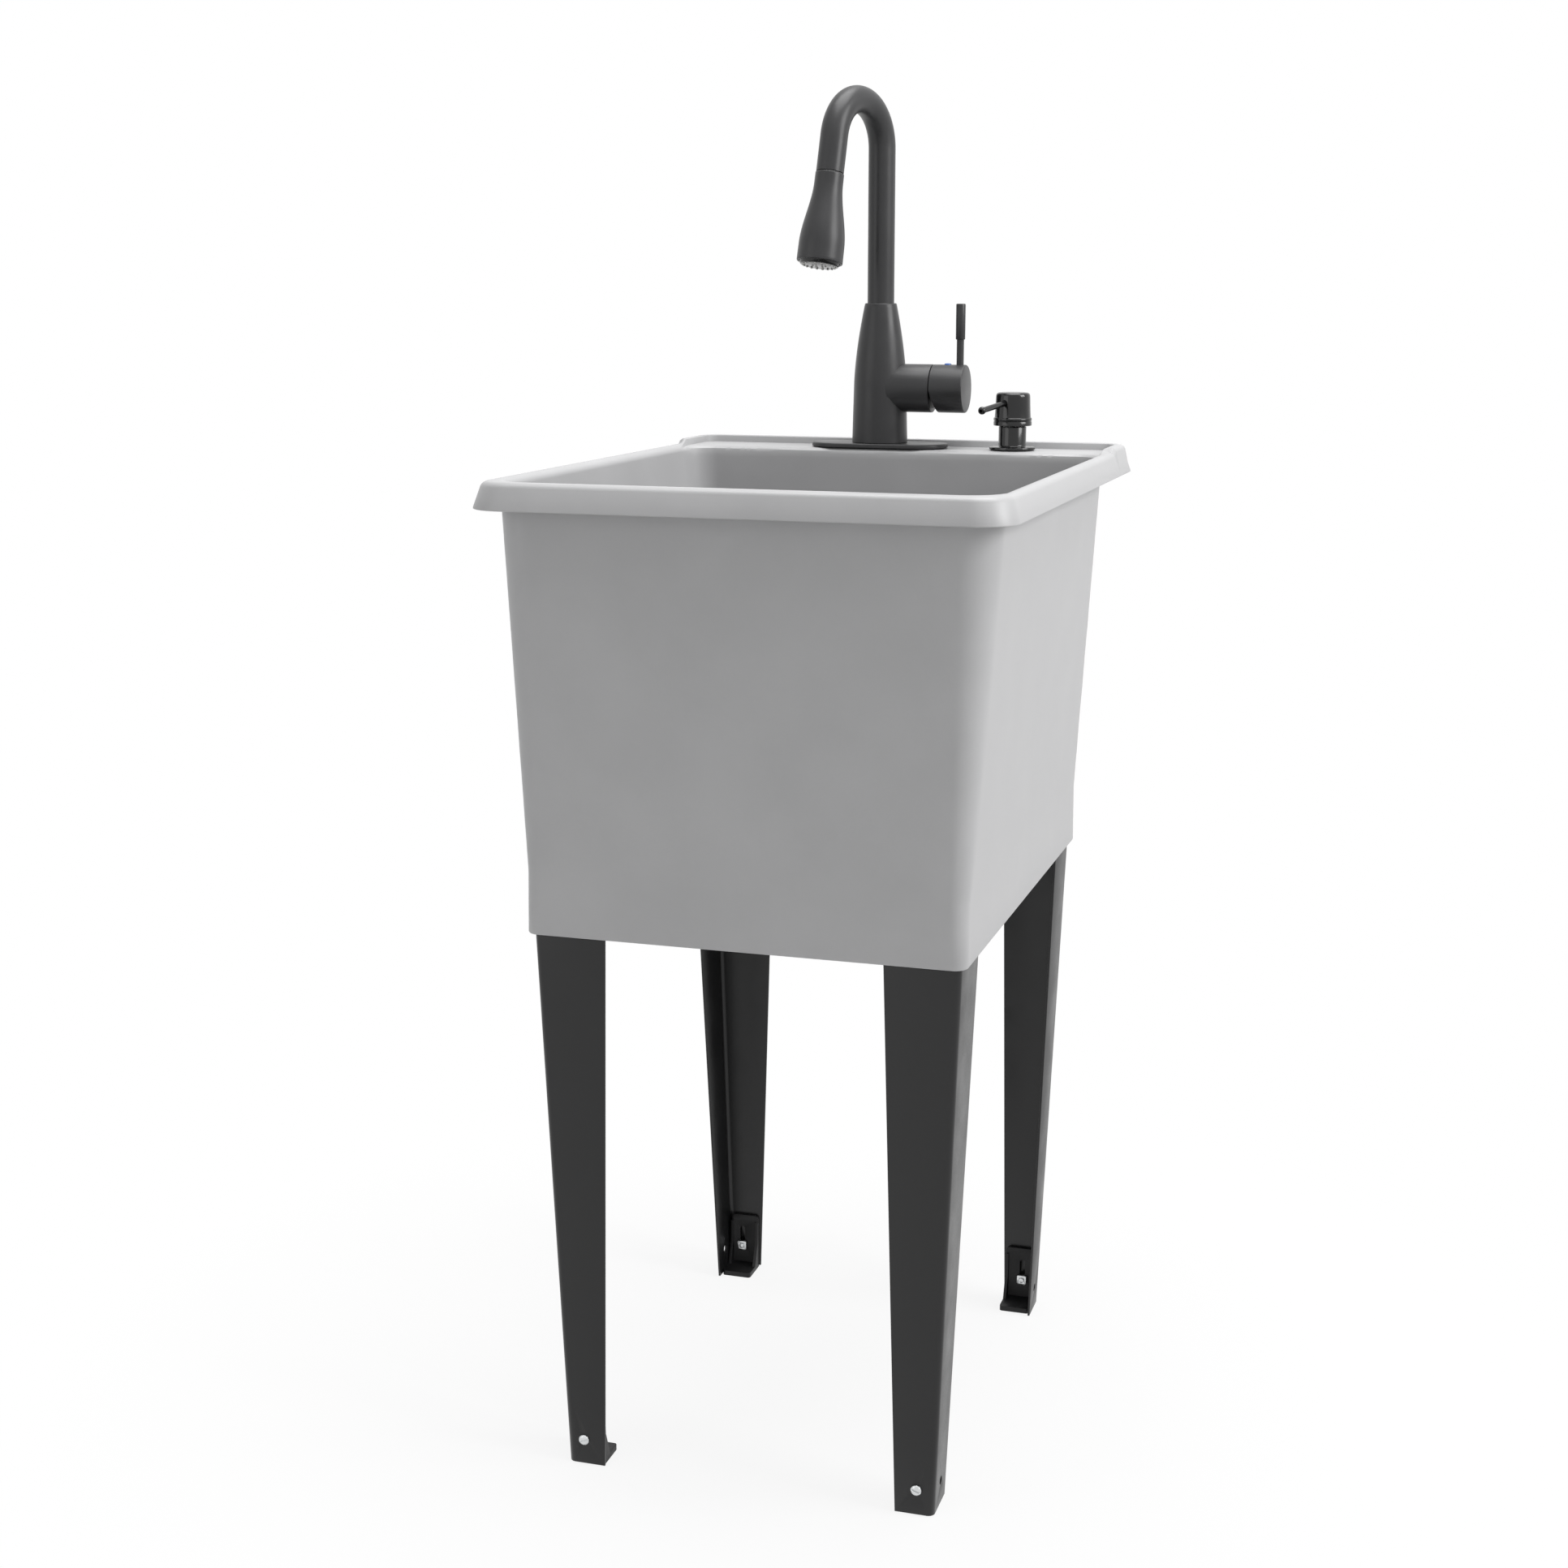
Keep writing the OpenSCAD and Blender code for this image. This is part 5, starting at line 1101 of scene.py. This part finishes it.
@dataclass
class SoapDispenser:
    """The dispenser beside the tap: collar, pump head and spout, with the bottle below.

    aim is where the spout points, in degrees from the right, and droop how far it falls.
    """

    travel: float = 14.0
    spout_h: float = 47.7
    aim: float = -108.0
    droop: float = 7.0

    @property
    def axis(self) -> Matrix:
        """The pump's axis at deck level."""
        return Matrix.Translation((SOAP_X, DECK_Y, DECK_Z))

    @property
    def spout_frame(self) -> Matrix:
        """Frame whose Z axis runs along the pump's spout."""
        heading = Matrix.Rotation(radians(self.aim), 4, "Z")
        fall = Matrix.Rotation(radians(90 + self.droop), 4, "Y")
        return self.axis @ Matrix.Translation((0, 0, self.spout_h)) @ (heading @ fall)

    def collar(self) -> None:
        """Models the flange, neck and shank, turned in one."""
        profile = [(10.5, -29), (12.5, -29), (12.5, 1)]
        flange = [(21.9, 1), (22.2, 1.3), (22.2, 2.4), (22.0, 3.1), (21.4, 3.6), (20.2, 3.85), (15.0, 4.0)]
        neck = [(14.0, 4.3), (13.5, 4.9), (13.35, 5.6), (13.35, 22.5), (13.2, 22.85), (12.85, 23)]
        mouth = [(12.05, 23), (12.05, 18), (10.5, 18)]
        collar = turned("turned_collar", profile + flange + neck + mouth, self.axis, closed=True)
        dress(collar, Finish.GLOSS, "sink", "soap_collar")

    def head(self) -> None:
        """Models the pump head, open below over the neck, and its spout."""
        hollow = [(13.65, 42), (13.65, 24.3), (13.9, 24)]
        grooves = [(18.2, 24), (18.5, 24.3), (18.5, 27.5), (18.3, 27.9), (17.9, 28), (17.9, 28.4),
                   (18.3, 28.5), (18.5, 28.9), (18.5, 30.8), (18.2, 31.3), (17.5, 31.7)]
        side = [(17.45, 32.2), (17.1, 38), (16.8, 45), (16.6, 51)]
        crown = [(16.45, 52.6), (16.1, 53.8), (15.4, 54.7), (14.2, 55.3), (12.0, 55.6), (7.0, 55.75),
                 (2.5, 55.8)]
        head = turned("pump_cap", hollow + grooves + side + crown, self.axis)
        drill(head, self.spout_frame, 3.05, 8, 24, 40)
        dress(head, Finish.GLOSS, "pump_top", "pump_head", angle=40.0)
        tube = [(1.4, 12), (2.75, 12), (2.75, 56.5)]
        ball = [(3.3, 57.1), (3.65, 58), (3.7, 59), (3.55, 60), (3.1, 60.9), (2.4, 61.3), (1.5, 61.3),
                (1.4, 60)]
        spout = turned("ball_ended_spout", tube + ball, self.spout_frame, 48, closed=True)
        dress(spout, Finish.GLOSS, "pump_top", "pump_spout", angle=40.0)

    def spring(self) -> None:
        """Dresses the return spring, which moves with the pump's piston, and gives it a mesh of its own."""
        spring = refined("pump_spring", "wound_spring", Finish.ZINC, 0.0, "pump_piston", angle=40.0)
        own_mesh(spring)

    def build(self) -> None:
        """Models the dispenser and dresses what hangs under the deck."""
        self.collar()
        self.head()
        refined("soap_nut", "hexagon_nut", Finish.GLOSS, 0.4)
        refined("soap_bottle", "blown_bottle", Finish.BOTTLE, 0.0, angle=40.0)
        repaint(Finish.RUBBER, "soap_gasket")
        repaint(Finish.BOTTLE, "dip_tube")
        repaint(Finish.WHITE, "pump_cylinder", "pump_gland", "pump_plunger")
        self.spring()


@dataclass(frozen=True)
class SoftBox:
    """A square lamp aimed at the sink, with its place and size in metres."""

    name: str
    place: Point
    size: float
    watts: float

    def build(self, target: Point) -> None:
        """Adds the lamp.

        Args:
            target: the point that it shines at, in metres.
        """
        data = bpy.data.lights.new(self.name, "AREA")
        data.size = self.size
        data.energy = self.watts
        lamp = bpy.data.objects.new(self.name, data)
        lamp.location = self.place
        lamp.rotation_euler = (Vector(target) - Vector(self.place)).to_track_quat("-Z", "Y").to_euler()
        bpy.context.scene.collection.objects.link(lamp)


@dataclass
class Studio:
    """Camera, lights, background and floor.

    place and the angles in degrees are the camera's. sky is how strongly the background lights the
    sink. floor_near and floor_far are the distances in metres between which the floor's own white
    in view rises from floor_share to the whole.
    """

    place: Point = (576.89, -1978.79, 1021.67)
    azimuth: float = 16.48
    pitch: float = -12.24
    roll: float = 0.17
    focal_px: float = 2844.74
    centre_px: tuple[float, float] = (1011.93, 963.79)
    image_px: float = 1932.0
    sensor_mm: float = 36.0
    sky: float = 0.3
    floor_near: float = 0.3
    floor_far: float = 0.75
    floor_share: float = 0.87
    target: Point = (0.0, 0.0, 0.7)
    lamps: tuple[SoftBox, ...] = (
        SoftBox("key_right", (3.2, -0.2, 2.4), 1.8, 92.0),
        SoftBox("overhead", (0.2, 0.2, 3.4), 2.2, 92.0),
        SoftBox("fill_left", (-2.2, -2.8, 1.5), 2.0, 14.0),
    )

    def camera(self) -> None:
        """Puts the camera at the photograph's view."""
        data = bpy.data.cameras.new("studio_camera")
        data.sensor_width = self.sensor_mm
        data.lens = self.focal_px / self.image_px * self.sensor_mm
        data.shift_x = (self.image_px / 2 - self.centre_px[0]) / self.image_px
        data.shift_y = (self.centre_px[1] - self.image_px / 2) / self.image_px
        data.clip_start, data.clip_end = 0.05, 60.0
        az, pitch, roll = (radians(v) for v in (self.azimuth, self.pitch, self.roll))
        ahead = Vector((-sin(az) * cos(pitch), cos(az) * cos(pitch), sin(pitch)))
        right = Vector((cos(az), sin(az), 0.0))
        up = right.cross(ahead)
        side = right * cos(roll) + up * sin(roll)
        top = up * cos(roll) - right * sin(roll)
        turn = Matrix((side, top, -ahead)).transposed().to_4x4()
        camera = bpy.data.objects.new("studio_camera", data)
        camera.matrix_world = Matrix.Translation(Vector(self.place) * MM) @ turn
        bpy.context.scene.collection.objects.link(camera)
        bpy.context.scene.camera = camera

    def backdrop(self) -> None:
        """Makes the background: white to the camera and in reflections, softer as a light."""
        world = bpy.data.worlds.new("studio")
        bpy.context.scene.world = world
        tree = empty_tree(world)
        seen = seen_directly(tree)
        white = (1, 1, 1, 1)
        dim = add_node(tree, "Background", {"Color": white, "Strength": self.sky}, {})
        full = add_node(tree, "Background", {"Color": white, "Strength": 1.0}, {})
        mix = add_node(tree, "MixShader", {}, {0: seen, 1: dim.outputs[0], 2: full.outputs[0]})
        add_node(tree, "OutputWorld", {}, {"Surface": mix.outputs[0]})

    def floor(self) -> None:
        """Makes a floor that is white in view, takes the sink's soft shadow and is clear from below."""
        deselect_all()
        bpy.ops.mesh.primitive_plane_add(size=30.0, location=(0, 0, 0))
        floor = bpy.context.object
        floor.name = "studio_floor"
        material = bpy.data.materials.new("white_paper")
        tree = empty_tree(material)
        seen = seen_directly(tree)
        place = add_node(tree, "TexCoord", {}, {}).outputs["Object"]
        reach = add_node(tree, "VectorMath", {"operation": "LENGTH"}, {0: place}).outputs["Value"]
        settings = {"From Min": self.floor_near, "From Max": self.floor_far, "To Min": self.floor_share,
                    "To Max": 1.0}
        white = add_node(tree, "MapRange", settings, {"Value": reach}).outputs[0]
        share = add_node(tree, "Math", {"operation": "MULTIPLY"}, {0: seen, 1: white}).outputs[0]
        paper = add_node(tree, "BsdfDiffuse", {"Color": linear("#e8e8e8"), "Roughness": 0.8}, {})
        glow = add_node(tree, "Emission", {"Color": (1, 1, 1, 1), "Strength": 1.0}, {})
        mix = add_node(tree, "MixShader", {}, {0: share, 1: paper.outputs[0], 2: glow.outputs[0]})
        back = add_node(tree, "NewGeometry", {}, {}).outputs["Backfacing"]
        clear = add_node(tree, "BsdfTransparent", {}, {})
        both = add_node(tree, "MixShader", {}, {0: back, 1: mix.outputs[0], 2: clear.outputs[0]})
        add_node(tree, "OutputMaterial", {}, {"Surface": both.outputs[0]})
        floor.data.materials.append(material)

    def build(self) -> None:
        """Sets up the camera, lights, background and floor."""
        bpy.context.scene.view_settings.view_transform = "Standard"
        self.camera()
        self.backdrop()
        self.floor()
        for lamp in self.lamps:
            lamp.build(self.target)


def main() -> None:
    """Builds the scene."""
    logging.basicConfig(level=logging.INFO, format="%(message)s")
    LaundryTub().build()
    for side, across in ((-1, "left"), (1, "right")):
        for end, depth in ((-1, "front"), (1, "back")):
            FoldedLeg(side, end).build(f"leg_{depth}_{across}")
    for part in (LevellingFeet(), BasketStrainer(), PullDownTap(), SoapDispenser(), Studio()):
        part.build()
    bpy.context.view_layer.update()


if __name__ == "__main__":
    main()
